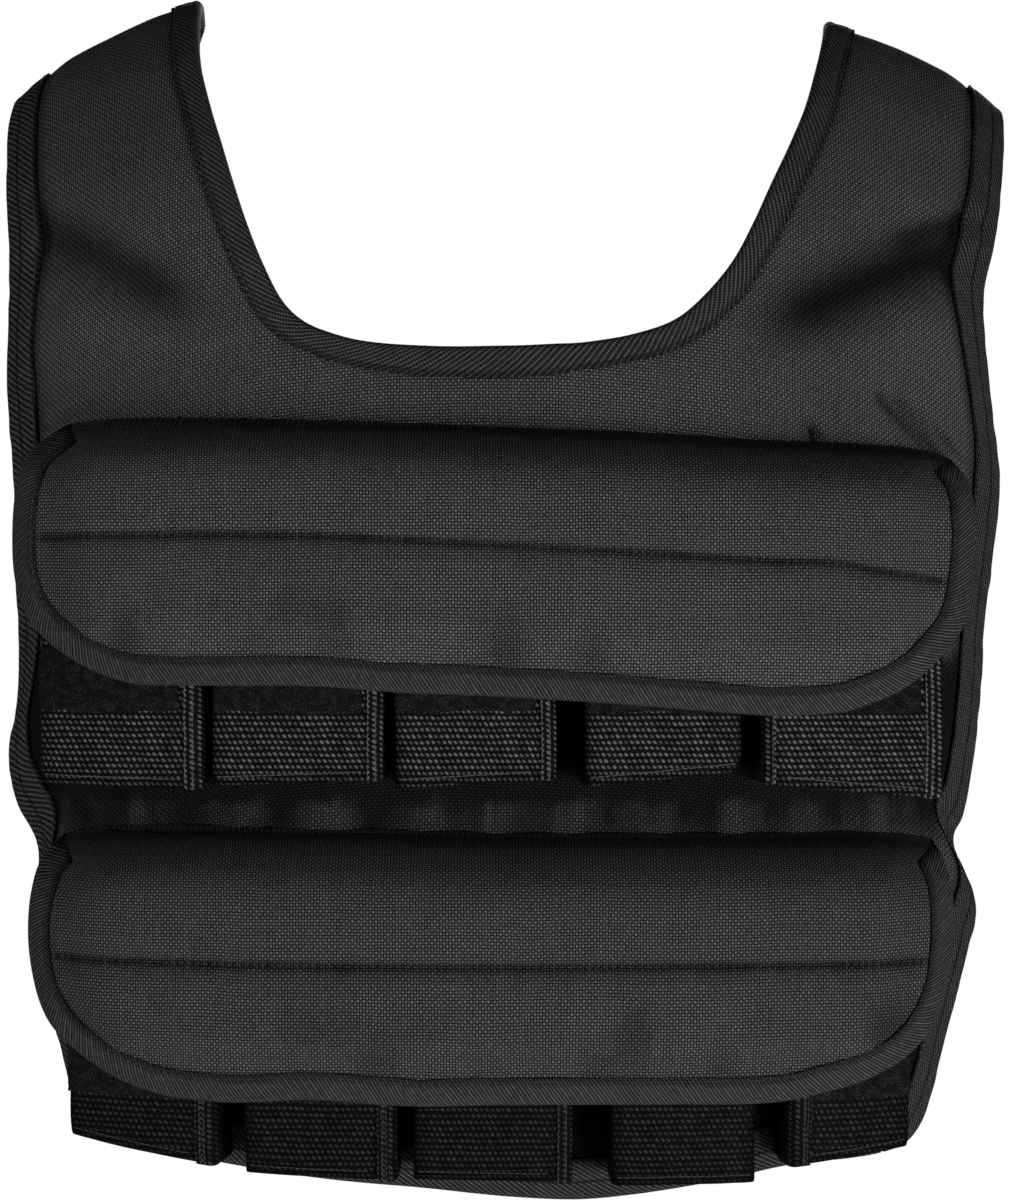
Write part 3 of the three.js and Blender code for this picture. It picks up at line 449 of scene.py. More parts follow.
# ------------------------------------------------------------------ materials
class Finish:
    """Builds one procedural material; a and b may be numbers or sockets."""

    def __init__(self, name):
        self.mat = bpy.data.materials.new(name)
        self.mat.use_nodes = True
        self.nt = self.mat.node_tree
        self.nt.nodes.clear()
        self.out = self.nt.nodes.new("ShaderNodeOutputMaterial")
        self.bsdf = self.nt.nodes.new("ShaderNodeBsdfPrincipled")
        self.nt.links.new(self.bsdf.outputs[0], self.out.inputs["Surface"])

    def put(self, socket, value):
        if isinstance(value, bpy.types.NodeSocket):
            self.nt.links.new(value, socket)
        elif isinstance(value, (tuple, list)):
            socket.default_value = tuple(value) if len(value) == len(socket.default_value) else (*value, 1.0)
        else:
            socket.default_value = value

    def m(self, op, a, b=None, c=None, clamp=False):
        n = self.nt.nodes.new("ShaderNodeMath")
        n.operation = op
        n.use_clamp = clamp
        for i, v in enumerate((a, b, c)):
            if v is not None:
                self.put(n.inputs[i], v)
        return n.outputs[0]

    def uv(self):
        n = self.nt.nodes.new("ShaderNodeUVMap")
        n.uv_map = "weave"
        s = self.nt.nodes.new("ShaderNodeSeparateXYZ")
        self.nt.links.new(n.outputs[0], s.inputs[0])
        return s.outputs[0], s.outputs[1]

    def painted_shade_factor(self, share):
        """A factor that falls where the painted shade mark is high: painted shade in creases, recesses and other shaded
        places.
        """
        n = self.nt.nodes.new("ShaderNodeAttribute")
        n.attribute_name = "painted_shade"
        return self.m("SUBTRACT", 1.0, self.m("MULTIPLY", n.outputs["Fac"], share))

    def vector(self, x, y, z=0.0):
        n = self.nt.nodes.new("ShaderNodeCombineXYZ")
        for i, v in enumerate((x, y, z)):
            self.put(n.inputs[i], v)
        return n.outputs[0]

    def noise(self, vector, scale, detail=2.0, rough=0.5):
        n = self.nt.nodes.new("ShaderNodeTexNoise")
        n.noise_dimensions = "3D"
        self.put(n.inputs["Vector"], vector)
        self.put(n.inputs["Scale"], scale)
        self.put(n.inputs["Detail"], detail)
        self.put(n.inputs["Roughness"], rough)
        return n.outputs["Fac"] if "Fac" in n.outputs else n.outputs[0]

    def random(self, x, y):
        n = self.nt.nodes.new("ShaderNodeTexWhiteNoise")
        n.noise_dimensions = "2D"
        self.put(n.inputs["Vector"], self.vector(x, y))
        return n.outputs["Value"]

    def ramp(self, value, low, high, to_low=0.0, to_high=1.0, kind="SMOOTHSTEP"):
        n = self.nt.nodes.new("ShaderNodeMapRange")
        n.interpolation_type = kind
        for key, v in (("Value", value), ("From Min", low), ("From Max", high), ("To Min", to_low), ("To Max", to_high)):
            self.put(n.inputs[key], v)
        return n.outputs[0]

    def colour(self, factor, a, b):
        n = self.nt.nodes.new("ShaderNodeMix")
        n.data_type = "RGBA"
        self.put(n.inputs[0], factor)
        self.put(n.inputs[6], a)
        self.put(n.inputs[7], b)
        return n.outputs[2]

    def scale_colour(self, colour, by):
        n = self.nt.nodes.new("ShaderNodeVectorMath")
        n.operation = "SCALE"
        self.put(n.inputs[0], colour)
        self.put(n.inputs["Scale"], by)
        return n.outputs[0]

    def finish(self, colour, height, deep, rough=0.7, strength=1.0, specular=0.35, sheen=0.0, sheen_tint=(1, 1, 1)):
        self.put(self.bsdf.inputs["Base Color"], colour)
        self.put(self.bsdf.inputs["Roughness"], rough)
        self.bsdf.inputs["Specular IOR Level"].default_value = specular
        self.bsdf.inputs["Sheen Weight"].default_value = sheen
        self.bsdf.inputs["Sheen Roughness"].default_value = 0.5
        self.bsdf.inputs["Sheen Tint"].default_value = (*sheen_tint, 1)
        if height is not None:
            b = self.nt.nodes.new("ShaderNodeBump")
            b.inputs["Distance"].default_value = deep * 0.001
            b.inputs["Strength"].default_value = strength
            self.put(b.inputs["Height"], height)
            self.nt.links.new(b.outputs[0], self.bsdf.inputs["Normal"])
        return self.mat


def woven_finish():
    """Coarse plain weave: warp and weft yarns over and under each other, dark holes between them."""
    f = Finish("woven_cloth")
    u, v = f.uv()
    drift = f.vector(f.m("MULTIPLY", u, 0.021), f.m("MULTIPLY", v, 0.021))
    du = f.m("MULTIPLY", f.m("SUBTRACT", f.noise(drift, 1.0, 2.0), 0.5), 2.2)
    dv = f.m("MULTIPLY", f.m("SUBTRACT", f.noise(f.vector(f.m("MULTIPLY", v, 0.019), f.m("MULTIPLY", u, 0.023), 5.0), 1.0, 2.0), 0.5), 2.4)
    close = f.vector(f.m("MULTIPLY", u, 0.55), f.m("MULTIPLY", v, 0.55), 3.0)
    jit = f.m("MULTIPLY", f.m("SUBTRACT", f.noise(close, 1.0, 1.0), 0.5), 0.34)
    a = f.m("DIVIDE", f.m("ADD", f.m("ADD", u, du), jit), 1.17)
    b = f.m("DIVIDE", f.m("ADD", f.m("SUBTRACT", v, jit), dv), 1.27)
    i, j = f.m("ROUND", a), f.m("ROUND", b)
    da, db = f.m("SUBTRACT", a, i), f.m("SUBTRACT", b, j)
    si = f.m("COSINE", f.m("MULTIPLY", i, math.pi))
    sj = f.m("COSINE", f.m("MULTIPLY", j, math.pi))
    warp_wave = f.m("MULTIPLY", si, f.m("COSINE", f.m("MULTIPLY", b, math.pi)))
    weft_wave = f.m("MULTIPLY", f.m("MULTIPLY", sj, -1.0), f.m("COSINE", f.m("MULTIPLY", a, math.pi)))
    warp_round = f.m("SQRT", f.m("MAXIMUM", f.m("SUBTRACT", 1.0, f.m("POWER", f.m("MULTIPLY", f.m("ABSOLUTE", da), 2.0), 2.0)), 0.0))
    weft_round = f.m("SQRT", f.m("MAXIMUM", f.m("SUBTRACT", 1.0, f.m("POWER", f.m("MULTIPLY", f.m("ABSOLUTE", db), 2.0), 2.0)), 0.0))
    warp = f.m("ADD", f.m("MULTIPLY", warp_wave, 0.5), f.m("MULTIPLY", warp_round, 0.5))
    weft = f.m("ADD", f.m("MULTIPLY", weft_wave, 0.5), f.m("MULTIPLY", weft_round, 0.5))
    high = f.m("MAXIMUM", warp, weft)
    over = f.ramp(f.m("SUBTRACT", weft, warp), -0.15, 0.15)
    light = f.ramp(high, 0.47, 0.96)
    yarn = f.m("ADD", f.m("MULTIPLY", f.random(i, 3.0), f.m("SUBTRACT", 1.0, over)), f.m("MULTIPLY", f.random(7.0, j), over))
    spot = f.random(i, j)
    vary = f.m("ADD", 0.80, f.m("ADD", f.m("MULTIPLY", yarn, 0.16), f.m("MULTIPLY", spot, 0.26)))
    large = f.noise(f.vector(f.m("MULTIPLY", u, 0.012), f.m("MULTIPLY", v, 0.012), 9.0), 1.0, 3.0)
    vary = f.m("MULTIPLY", vary, f.ramp(large, 0.3, 0.7, 0.93, 1.07))
    # painted shade: the cloth is darkened where the painted shade mark is high, in crease valleys, recesses and other
    # shaded places
    vary = f.m("MULTIPLY", vary, f.painted_shade_factor(0.9))
    top = f.colour(over, (0.0620, 0.0570, 0.0620), (0.1330, 0.1235, 0.1315))
    low = f.colour(over, (0.0022, 0.0018, 0.0020), (0.0026, 0.0022, 0.0025))
    colour = f.scale_colour(f.colour(light, low, top), vary)
    return f.finish(colour, high, 0.42, rough=0.75, strength=0.8, specular=0.05)


def tape_finish(name, rib, slope, column, grey, shares=(0.62, 0.14, 0.24), strand=1.52, lean=1.67, inner=(14.0, 15.6, 0.25)):
    """Twill tape: slanting ribs of paired strands, with a dark line where the columns meet."""
    f = Finish(name)
    a, b = f.uv()
    drift = f.vector(f.m("MULTIPLY", a, 0.05), f.m("MULTIPLY", b, 0.08))
    wander = f.m("MULTIPLY", f.m("SUBTRACT", f.noise(drift, 1.0, 2.0), 0.5), 2.0)
    phase = f.m("ADD", f.m("ADD", f.m("DIVIDE", a, rib), f.m("MULTIPLY", b, slope / rib)), f.m("DIVIDE", wander, rib))
    wide = f.m("ADD", 0.5, f.m("MULTIPLY", f.m("COSINE", f.m("MULTIPLY", phase, 2 * math.pi)), 0.5))
    fine = f.m("ADD", 0.5, f.m("MULTIPLY", f.m("COSINE", f.m("MULTIPLY", phase, 4 * math.pi)), 0.5))
    across = f.m("ADD", 0.5, f.m("MULTIPLY", f.m("COSINE", f.m("MULTIPLY", f.m("SUBTRACT", a, f.m("MULTIPLY", b, lean)), 2 * math.pi / strand)), 0.5))
    high = f.m("ADD", f.m("ADD", f.m("MULTIPLY", wide, shares[0]), f.m("MULTIPLY", fine, shares[1])), f.m("MULTIPLY", across, shares[2]))
    line = f.m("SUBTRACT", f.m("ABSOLUTE", b), column)
    groove = f.m("SUBTRACT", 1.0, f.ramp(f.m("ABSOLUTE", line), 0.15, 0.75))
    high = f.m("SUBTRACT", high, f.m("MULTIPLY", groove, 0.45))
    light = f.ramp(high, 0.25, 0.9)
    spot = f.random(f.m("ROUND", f.m("MULTIPLY", phase, 2.0)), f.m("ROUND", f.m("MULTIPLY", b, 0.8)))
    vary = f.m("ADD", 0.82, f.m("MULTIPLY", spot, 0.36))
    top = tuple(c * grey for c in (0.0500, 0.0515, 0.0510))
    low = tuple(c * grey for c in (0.0045, 0.0047, 0.0047))
    # painted shade: the tape is darkened where the painted shade mark is high, and towards its inner sewn edge (inner)
    vary = f.m("MULTIPLY", f.m("MULTIPLY", vary, f.painted_shade_factor(0.85)), f.ramp(b, inner[0], inner[1], 1.0, inner[2]))
    colour = f.scale_colour(f.colour(light, low, top), vary)
    return f.finish(colour, high, 0.40, rough=0.72, strength=0.8, specular=0.08)


def webbing_finish(name, upright, grey=1.0):
    """Wide ribbed webbing: rows of small nubs, each row half a nub off the next."""
    f = Finish(name)
    u, v = f.uv()
    if upright:
        u, v = v, u
    sway = f.vector(f.m("MULTIPLY", u, 0.06), f.m("MULTIPLY", v, 0.11))
    v = f.m("ADD", v, f.m("MULTIPLY", f.m("SUBTRACT", f.noise(sway, 1.0, 2.0), 0.5), 1.2))
    close = f.vector(f.m("MULTIPLY", u, 0.45), f.m("MULTIPLY", v, 0.45), 2.0)
    u = f.m("ADD", u, f.m("MULTIPLY", f.m("SUBTRACT", f.noise(close, 1.0, 1.0), 0.5), 0.6))
    row = f.m("ROUND", f.m("DIVIDE", v, 2.45))
    dv = f.m("SUBTRACT", f.m("DIVIDE", v, 2.45), row)
    half = f.m("MULTIPLY", f.m("PINGPONG", row, 1.0), 0.5)
    a = f.m("ADD", f.m("ADD", f.m("DIVIDE", u, 2.14), half), f.m("MULTIPLY", dv, 0.55))
    col = f.m("ROUND", a)
    da = f.m("SUBTRACT", a, col)
    rr = f.m("ADD", f.m("POWER", f.m("DIVIDE", f.m("ABSOLUTE", da), 0.39), 2.0), f.m("POWER", f.m("DIVIDE", f.m("ABSOLUTE", dv), 0.36), 2.0))
    nub = f.m("SQRT", f.m("MAXIMUM", f.m("SUBTRACT", 1.0, rr), 0.0))
    strand = f.m("ADD", 0.5, f.m("MULTIPLY", f.m("COSINE", f.m("MULTIPLY", u, 2 * math.pi / 0.71)), 0.5))
    ground = f.m("MULTIPLY", f.m("ADD", 0.5, f.m("MULTIPLY", f.m("COSINE", f.m("MULTIPLY", dv, 2 * math.pi)), 0.5)), 0.35)
    high = f.m("MAXIMUM", nub, ground)
    spot = f.random(col, row)
    vary = f.m("ADD", 0.55, f.m("MULTIPLY", spot, 0.9))
    face = f.m("MULTIPLY", f.ramp(nub, 0.25, 1.0), f.m("ADD", 0.72, f.m("MULTIPLY", strand, 0.28)))
    top = tuple(c * grey for c in (0.1050, 0.1030, 0.1050))
    low = tuple(c * (0.4 + 0.6 * grey) for c in (0.0036, 0.0034, 0.0035))
    # painted shade: darkened where the painted shade mark is high
    colour = f.scale_colour(f.colour(face, low, top), f.m("MULTIPLY", vary, f.painted_shade_factor(0.92)))
    return f.finish(colour, high, 0.6, rough=0.7, strength=0.8, specular=0.04)


def loop_finish():
    """Hook-and-loop strip: a low felt of small loops."""
    f = Finish("loop_strip")
    u, v = f.uv()
    at = f.vector(f.m("MULTIPLY", u, 1.0), f.m("MULTIPLY", v, 1.0))
    fuzz = f.noise(at, 1.5, 4.0, 0.7)
    clump = f.noise(f.vector(f.m("MULTIPLY", u, 1.0), f.m("MULTIPLY", v, 1.0), 4.0), 0.28, 2.0)
    high = f.m("ADD", f.m("MULTIPLY", fuzz, 0.8), f.m("MULTIPLY", clump, 0.4))
    light = f.m("MULTIPLY", f.ramp(fuzz, 0.44, 0.66), f.ramp(clump, 0.35, 0.7, 0.25, 1.0))
    colour = f.colour(light, (0.0034, 0.0030, 0.0032), (0.0390, 0.0360, 0.0372))
    return f.finish(colour, high, 0.5, rough=0.95, strength=0.8, specular=0.05)


def thread_finish(name, grey):
    f = Finish(name)
    a, b = f.uv()
    twist = f.m("ADD", 0.5, f.m("MULTIPLY", f.m("COSINE", f.m("ADD", f.m("MULTIPLY", a, 2 * math.pi / 0.6), b)), 0.5))
    colour = f.colour(twist, tuple(0.45 * c * grey for c in (1, 1, 1)), (grey, grey, grey))
    return f.finish(colour, twist, 0.08, rough=0.45, specular=0.4, sheen=0.1)


def belt_finish():
    """Plain webbing with fine lengthwise ribs."""
    f = Finish("belt_webbing")
    u, v = f.uv()
    rib = f.m("ADD", 0.5, f.m("MULTIPLY", f.m("COSINE", f.m("MULTIPLY", v, 2 * math.pi / 1.6)), 0.5))
    pick = f.m("ADD", 0.5, f.m("MULTIPLY", f.m("COSINE", f.m("ADD", f.m("MULTIPLY", u, 2 * math.pi / 1.1), f.m("MULTIPLY", f.m("ROUND", f.m("DIVIDE", v, 1.6)), math.pi))), 0.5))
    high = f.m("ADD", f.m("MULTIPLY", rib, 0.6), f.m("MULTIPLY", pick, 0.4))
    colour = f.scale_colour(f.colour(f.ramp(high, 0.2, 0.9), (0.004, 0.004, 0.004), (0.032, 0.032, 0.033)),
                            f.m("ADD", 0.8, f.m("MULTIPLY", f.noise(f.vector(u, v), 0.2, 2.0), 0.4)))
    return f.finish(colour, high, 0.35, rough=0.6, strength=0.7, specular=0.3)


cloth = woven_finish()
tape_side = tape_finish("binding_tape_side", 2.8, 1.45, 6.6, 1.3, lean=0.69)
tape_side_r = tape_finish("binding_tape_side_right", 2.8, -1.45, 6.6, 1.3, lean=-0.69)
tape_neck = tape_finish("binding_tape_neck", 3.0, 1.19, 30.0, 1.38, (0.50, 0.20, 0.30), 1.5, 0.84, (8.2, 9.6, 0.62))
tape_flap = tape_finish("binding_tape_flap", 3.1, 0.75, 30.0, 1.45, (0.16, 0.60, 0.24), 1.4, 1.3, (5.6, 8.6, 0.45))
webbing = webbing_finish("ribbed_webbing", False)
webbing_up = webbing_finish("ribbed_webbing_upright", True, 1.1)
# painted shade: the lower row's webbing is a darker copy of the same webbing, darkened for the shade it lies in
webbing_shaded_low = webbing_finish("ribbed_webbing_shaded_low", False, 0.24)
webbing_shaded_low_up = webbing_finish("ribbed_webbing_shaded_low_upright", True, 0.30)
fuzzy = loop_finish()
thread_dark = thread_finish("sewing_thread", 0.020)
thread_light = thread_finish("sewing_thread_light", 0.085)
# painted shade: a darker copy of the light thread, for the stitches of the lower pocket row
thread_shaded_low = thread_finish("thread_shaded_low", 0.031)
belting = belt_finish()


# ------------------------------------------------------------------ panels
class Panel:
    def __init__(self, neck, outer, sign):
        self.neck, self.outer, self.sign = neck, outer, sign

    def at(self, s, r):
        return (mix(along(self.neck, "s", "x", s), along(self.outer, "s", "x", s), r),
                mix(along(self.neck, "s", "drop", s), along(self.outer, "s", "drop", s), r))

    def span(self, s):
        s = np.asarray(s, float)
        p = body(*self.at(s[..., None], np.linspace(0, 1, 13)))
        return np.linalg.norm(np.diff(p, axis=-2), axis=-1).sum(-1)

    def place(self, s, r, out):
        x, drop = self.at(s, r)
        return on_body(x, drop, out + drape(x, drop))

    def edge(self, s, side, away, out):
        """Points in from an edge by a distance, or past it when the distance is negative."""
        w = self.span(s)
        base, inward = (1.0, -1.0) if side == "outer" else (0.0, 1.0)
        r = base + inward * np.maximum(away, 0) / w
        p = self.place(s, r, out)
        q0, q1 = self.place(s, base + 0 * w, out), self.place(s, base + inward * 0.01 + 0 * w, out)
        return p + unit(q0 - q1) * np.maximum(-away, 0)[..., None]

    def stations(self, count, lo=0.0, hi=10.0, share=0.5):
        s = np.linspace(lo, hi, 2001)
        a, b = body(*self.at(s, 0.0)), body(*self.at(s, 1.0))
        step = (share * np.linalg.norm(np.diff(b, axis=0), axis=1) + (1 - share) * np.linalg.norm(np.diff(a, axis=0), axis=1))
        run = np.concatenate([[0], np.cumsum(step)])
        return np.interp(np.linspace(0, run[-1], count), run, s)


front, back = Panel(NECK_FRONT, OUTER_FRONT, 1), Panel(NECK_BACK, OUTER_BACK, -1)


def panel_piece(name, pan, ns, nr):
    s = pan.stations(ns, share=0.62)[:, None]
    r = np.linspace(0, 1, nr)[None, :]
    x, drop = pan.at(s, r)
    w = pan.span(s[:, 0])[:, None]
    from_neck, from_outer = r * w, (1 - r) * w
    near = np.minimum(from_neck - NECK_TAPE + 1.5, from_outer - SIDE_TAPE + 1.5)
    # under the tape the cloth is pressed flat, and beside it the padding swells again
    swell = 0.75 * smooth(near / 14.0) - 0.25 * np.exp(-((near) / 2.2) ** 2)
    z = body(x, drop)[..., 2]
    soft = drape(x, drop)
    extra = np.where(drop > 0.4, pucker(x, z), 0.0) * smooth((from_outer - 18) / 10)
    outer = on_body(x, drop, PANEL + soft + swell + extra)
    inner = on_body(x, drop, soft + 0.6 * extra)
    uv = thread_place(x, drop)
    mark = None
    # painted shade: the mark darkens the cloth in the crease valleys, in a line along the tapes' inner edges, in the
    # strip between the pocket rows (less where the puckers stand out, with random streaks), beside the side tapes and
    # behind the pocket rows
    if pan is front:
        tall = np.exp(-((z + 329) / 15.0) ** 2)
        mark = crease_painted_shade(x, drop) + np.exp(-(near / 1.8) ** 2) * 0.55
        streak = noise(x / 3.6 + z / 30, z / 45, 36)
        mark = mark + tall * (0.84 - 0.22 * np.clip(pucker(x, z) / 1.6, -0.5, 1) + 0.24 * streak)
        mark = mark + 0.45 * np.exp(-((from_outer - SIDE_TAPE - 1.5) / 3.0) ** 2)
        # behind the pocket rows no light gets in
        behind = np.maximum(smooth((z + 327) / 7) * smooth((-262 - z) / 8), smooth((-405 - z) / 10))
        mark = mark + behind * (np.abs(x) < 200)
        mark = np.clip(mark, 0, 1)
    ob = shell(name, outer, inner, uv, cloth, sharp=60, painted_shade=mark)
    return ob


panel_front = panel_piece("front_panel_cloth", front, 300, 86)
panel_back = panel_piece("back_panel_cloth", back, 200, 56)

# section of the folded tape, from its sewn edge over the face, round the fold and back under
FACE = PANEL + GAP + TAPE


def tape_section(width, roll=1.0):
    """(distance in from the edge, distance out) along the tape's outer side, and the same under it."""
    outer, inner, across = [], [], []
    for w in np.linspace(width, 1.2, 15):
        dip = -0.42 * math.exp(-((w - (width - 1.7)) / 0.8) ** 2) + 0.22 * math.exp(-((w - width * 0.55) / (width * 0.3)) ** 2)
        outer.append((w, FACE + dip))
        inner.append((w, FACE - TAPE + dip * 0.5))
        across.append(w)
    mid = PANEL / 2
    for k in np.linspace(0.5, -0.5, 9)[1:-1]:
        a = math.pi * k
        outer.append((1.2 - 2.5 * math.cos(a), mid + (FACE - mid) * math.sin(a)))
        inner.append((1.2 - 1.6 * math.cos(a), mid + (FACE - TAPE - mid) * math.sin(a)))
        across.append(across[-1] - 1.15)
    for w in np.linspace(1.2, width, 9):
        outer.append((w, -GAP - TAPE))
        inner.append((w, -GAP))
        across.append(-7.0 - w)
    return np.array(outer), np.array(inner), np.array(across)


def tape_grid(pan, s, side, width, seed):
    """Grids of the tape's outer and inner side over stations s of a panel."""
    outer, inner, across = tape_section(width)
    base = body(*pan.at(s, 1.0 if side == "outer" else 0.0))
    run = np.concatenate([[0], np.cumsum(np.linalg.norm(np.diff(base, axis=0), axis=1))])
    S = s[:, None] + 0 * across[None, :]
    W = outer[None, :, 0] + 0 * S
    # the sewn edge wanders a little and the tape ripples between the stitches
    edge = np.clip((outer[None, :, 0] - 1.2) / (width - 1.2), 0, 1)
    wander = 0.55 * noise(run[:, None] / 17, 0.5, seed) + 0.25 * noise(run[:, None] / 5, 0.5, seed + 1)
    W = W + wander * edge
    ripple = 0.32 * noise(run[:, None] / 6.5, across[None, :] / 5, seed + 2) + 0.45 * noise(run[:, None] / 24, across[None, :] / 14, seed + 3)
    grow = np.where(outer[None, :, 1] > 1.8, 1.0, -0.6)
    O = outer[None, :, 1] + ripple * grow * np.where(np.abs(outer[None, :, 1] - 1.8) < 2, 0.4, 1.0)
    Wi = inner[None, :, 0] + wander * edge
    Oi = inner[None, :, 1] + ripple * grow * 0.6
    return (pan.edge(S, side, W, O), pan.edge(S, side, Wi, Oi),
            np.stack([run[:, None] + 0 * S, across[None, :] + 0 * S], -1), run)


def joined(parts):
    """Several tape runs in a row, made one, with the distance along carried on."""
    outs, ins, uvs, start = [], [], [], 0.0
    for o, i, uv, run in parts:
        uv = uv.copy()
        uv[..., 0] += start
        start += run[-1]
        outs.append(o), ins.append(i), uvs.append(uv)
    return np.concatenate(outs), np.concatenate(ins), np.concatenate(uvs)


def reverse(part):
    o, i, uv, run = part
    uv = uv.copy()
    uv[..., 0] = run[-1] - uv[..., 0]
    return o[::-1], i[::-1], uv[::-1], run


neck_front_s = front.stations(300, share=0.0)
neck_back_s = back.stations(180, share=0.0)
o, i, uv = joined([tape_grid(front, neck_front_s, "neck", NECK_TAPE, 40), reverse(tape_grid(back, neck_back_s[1:-1], "neck", NECK_TAPE, 47))])
neck = shell("neck_tape", o, i, uv, tape_neck, loop=True)


def side_run(pan, lo, hi, count, seed):
    return tape_grid(pan, pan.stations(count, lo, hi, share=1.0), "outer", SIDE_TAPE, seed)


o, i, uv = joined([reverse(side_run(front, 0, 3.93, 240, 51)), side_run(back, 0.004, 3.94, 160, 55)])
side_left = shell("side_tape_left", o, i, uv, tape_side)
o, i, uv = joined([side_run(front, 6.07, 10, 240, 61), reverse(side_run(back, 6.06, 9.996, 160, 65))])
side_right = shell("side_tape_right", o, i, uv, tape_side_r)
o, i, uv, run = side_run(front, 3.942, 6.058, 120, 71)
hem_front = shell("hem_tape_front", o, i, uv, tape_side)
o, i, uv, run = side_run(back, 3.952, 6.048, 90, 75)
hem_back = shell("hem_tape_back", o, i, uv, tape_side)


# ------------------------------------------------------------------ flaps
class Flap:
    def __init__(self, spec):
        self.spec = spec
        self.inset = GAP + TAPE

    def top(self, x):
        t = self.spec["top"]
        return along(t, "x", "z", np.clip(x, t["x"][0], t["x"][-1]))

    def bottom(self, x):
        t = self.spec["bottom"]
        return along(t, "x", "z", np.clip(x, t["x"][0], t["x"][-1]))

    def at(self, u, f):
        s = self.spec["sides"]
        ff = np.clip(f, 0, 1)
        x = mix(along(s, "f", "left", ff) + self.inset, along(s, "f", "right", ff) - self.inset, u)
        return x, mix(self.top(x), self.bottom(x) + self.inset, f)

    def back_to(self, x, z):
        s = self.spec["sides"]
        f = (self.top(x) - z) / (self.top(x) - self.bottom(x) - self.inset)
        ff = np.clip(f, 0, 1)
        l, r = along(s, "f", "left", ff) + self.inset, along(s, "f", "right", ff) - self.inset
        return (x - l) / (r - l), f

    def stand(self, x, z):
        e = self.spec
        f = (z - self.top(x)) / (self.bottom(x) - self.top(x))
        rise = 1 - (1 - np.clip(f / 0.28, 0, 1)) ** 2.2
        reach = np.minimum(smooth((x - e["edge_left"]) / (e["left"] - e["edge_left"])),
                           smooth((e["edge_right"] - x) / (e["edge_right"] - e["right"])))
        sewn = 2.4 * (1 - smooth(f / 0.05))
        return FLAP_BASE + (FLAP_OVER - FLAP_BASE) * rise * mix(FLAP_SIDE, 1, reach) - sewn

    def seam(self, x):
        return along(self.spec["seam"], "x", "z", x)

    def thick(self, x, z, seed=0):
        """Thickness of the quilted flap: two soft channels either side of the seam."""
        u, f = self.back_to(x, z)
        near = np.minimum(np.minimum(smooth((u - 0.022) / 0.065), smooth((0.978 - u) / 0.065)),
                          np.minimum(smooth((0.915 - f) / 0.17), smooth((f + 0.02) / 0.2)))
        sag = 0.7 * cloud(x / 55, z / 40, 80 + seed) + 0.22 * noise(x / 15, z / 13, 84 + seed)
        sag = sag + 1.05 * noise(x / 17, z / 55, 87 + seed) * smooth((f - 0.55) / 0.2)
        off = z - self.seam(x)
        pull = noise(x / 6.0, off / 9.0, 90 + seed) * 0.38 * np.exp(-(off / 9.0) ** 2) * near
        groove = (1.5 * np.exp(-(np.abs(off) / 1.7) ** 1.6) + 1.5 * np.exp(-(np.abs(off) / 8.0) ** 1.4)) * smooth((u - 0.02) / 0.03) * smooth((0.98 - u) / 0.03)
        start = 2.0 * (1 - smooth((f - 0.004) / 0.03))
        return mix(FLAP_EDGE, FLAP_PAD, near) + sag * near + pull - groove - start

    def place(self, x, z, over=0.0, seed=0):
        return aim_front(x, z, self.stand(x, z) + self.thick(x, z, seed) + over)


def border(flap, count):
    """The free edge of the flap, down the left, across the bottom and up the right, evenly spaced."""
    f = np.concatenate([np.linspace(0.0, 0.86, 120), np.linspace(0.865, 1, 120)])
    lx, lz = flap.at(0 * f, f)
    u = np.linspace(0, 1, 400)[1:-1]
    bx, bz = flap.at(u, 1 + 0 * u)
    rx, rz = flap.at(1 + 0 * f, f)
    x, z = np.concatenate([lx, bx, rx[::-1]]), np.concatenate([lz, bz, rz[::-1]])
    run = np.concatenate([[0], np.cumsum(np.hypot(np.diff(x), np.diff(z)))])
    fine = np.linspace(0, run[-1], 3001)
    x, z = np.interp(fine, run, x), np.interp(fine, run, z)
    kernel = np.hanning(61)
    kernel /= kernel.sum()
    pad = 30
    ex, ez = np.pad(x, pad, mode="reflect", reflect_type="odd"), np.pad(z, pad, mode="reflect", reflect_type="odd")
    x, z = np.convolve(ex, kernel, "valid"), np.convolve(ez, kernel, "valid")
    run = np.concatenate([[0], np.cumsum(np.hypot(np.diff(x), np.diff(z)))])
    at = np.linspace(0, run[-1], count)
    x, z = np.interp(at, run, x), np.interp(at, run, z)
    tx, tz = np.gradient(x), np.gradient(z)
    size = np.hypot(tx, tz)
    return x, z, -tz / size, tx / size, at


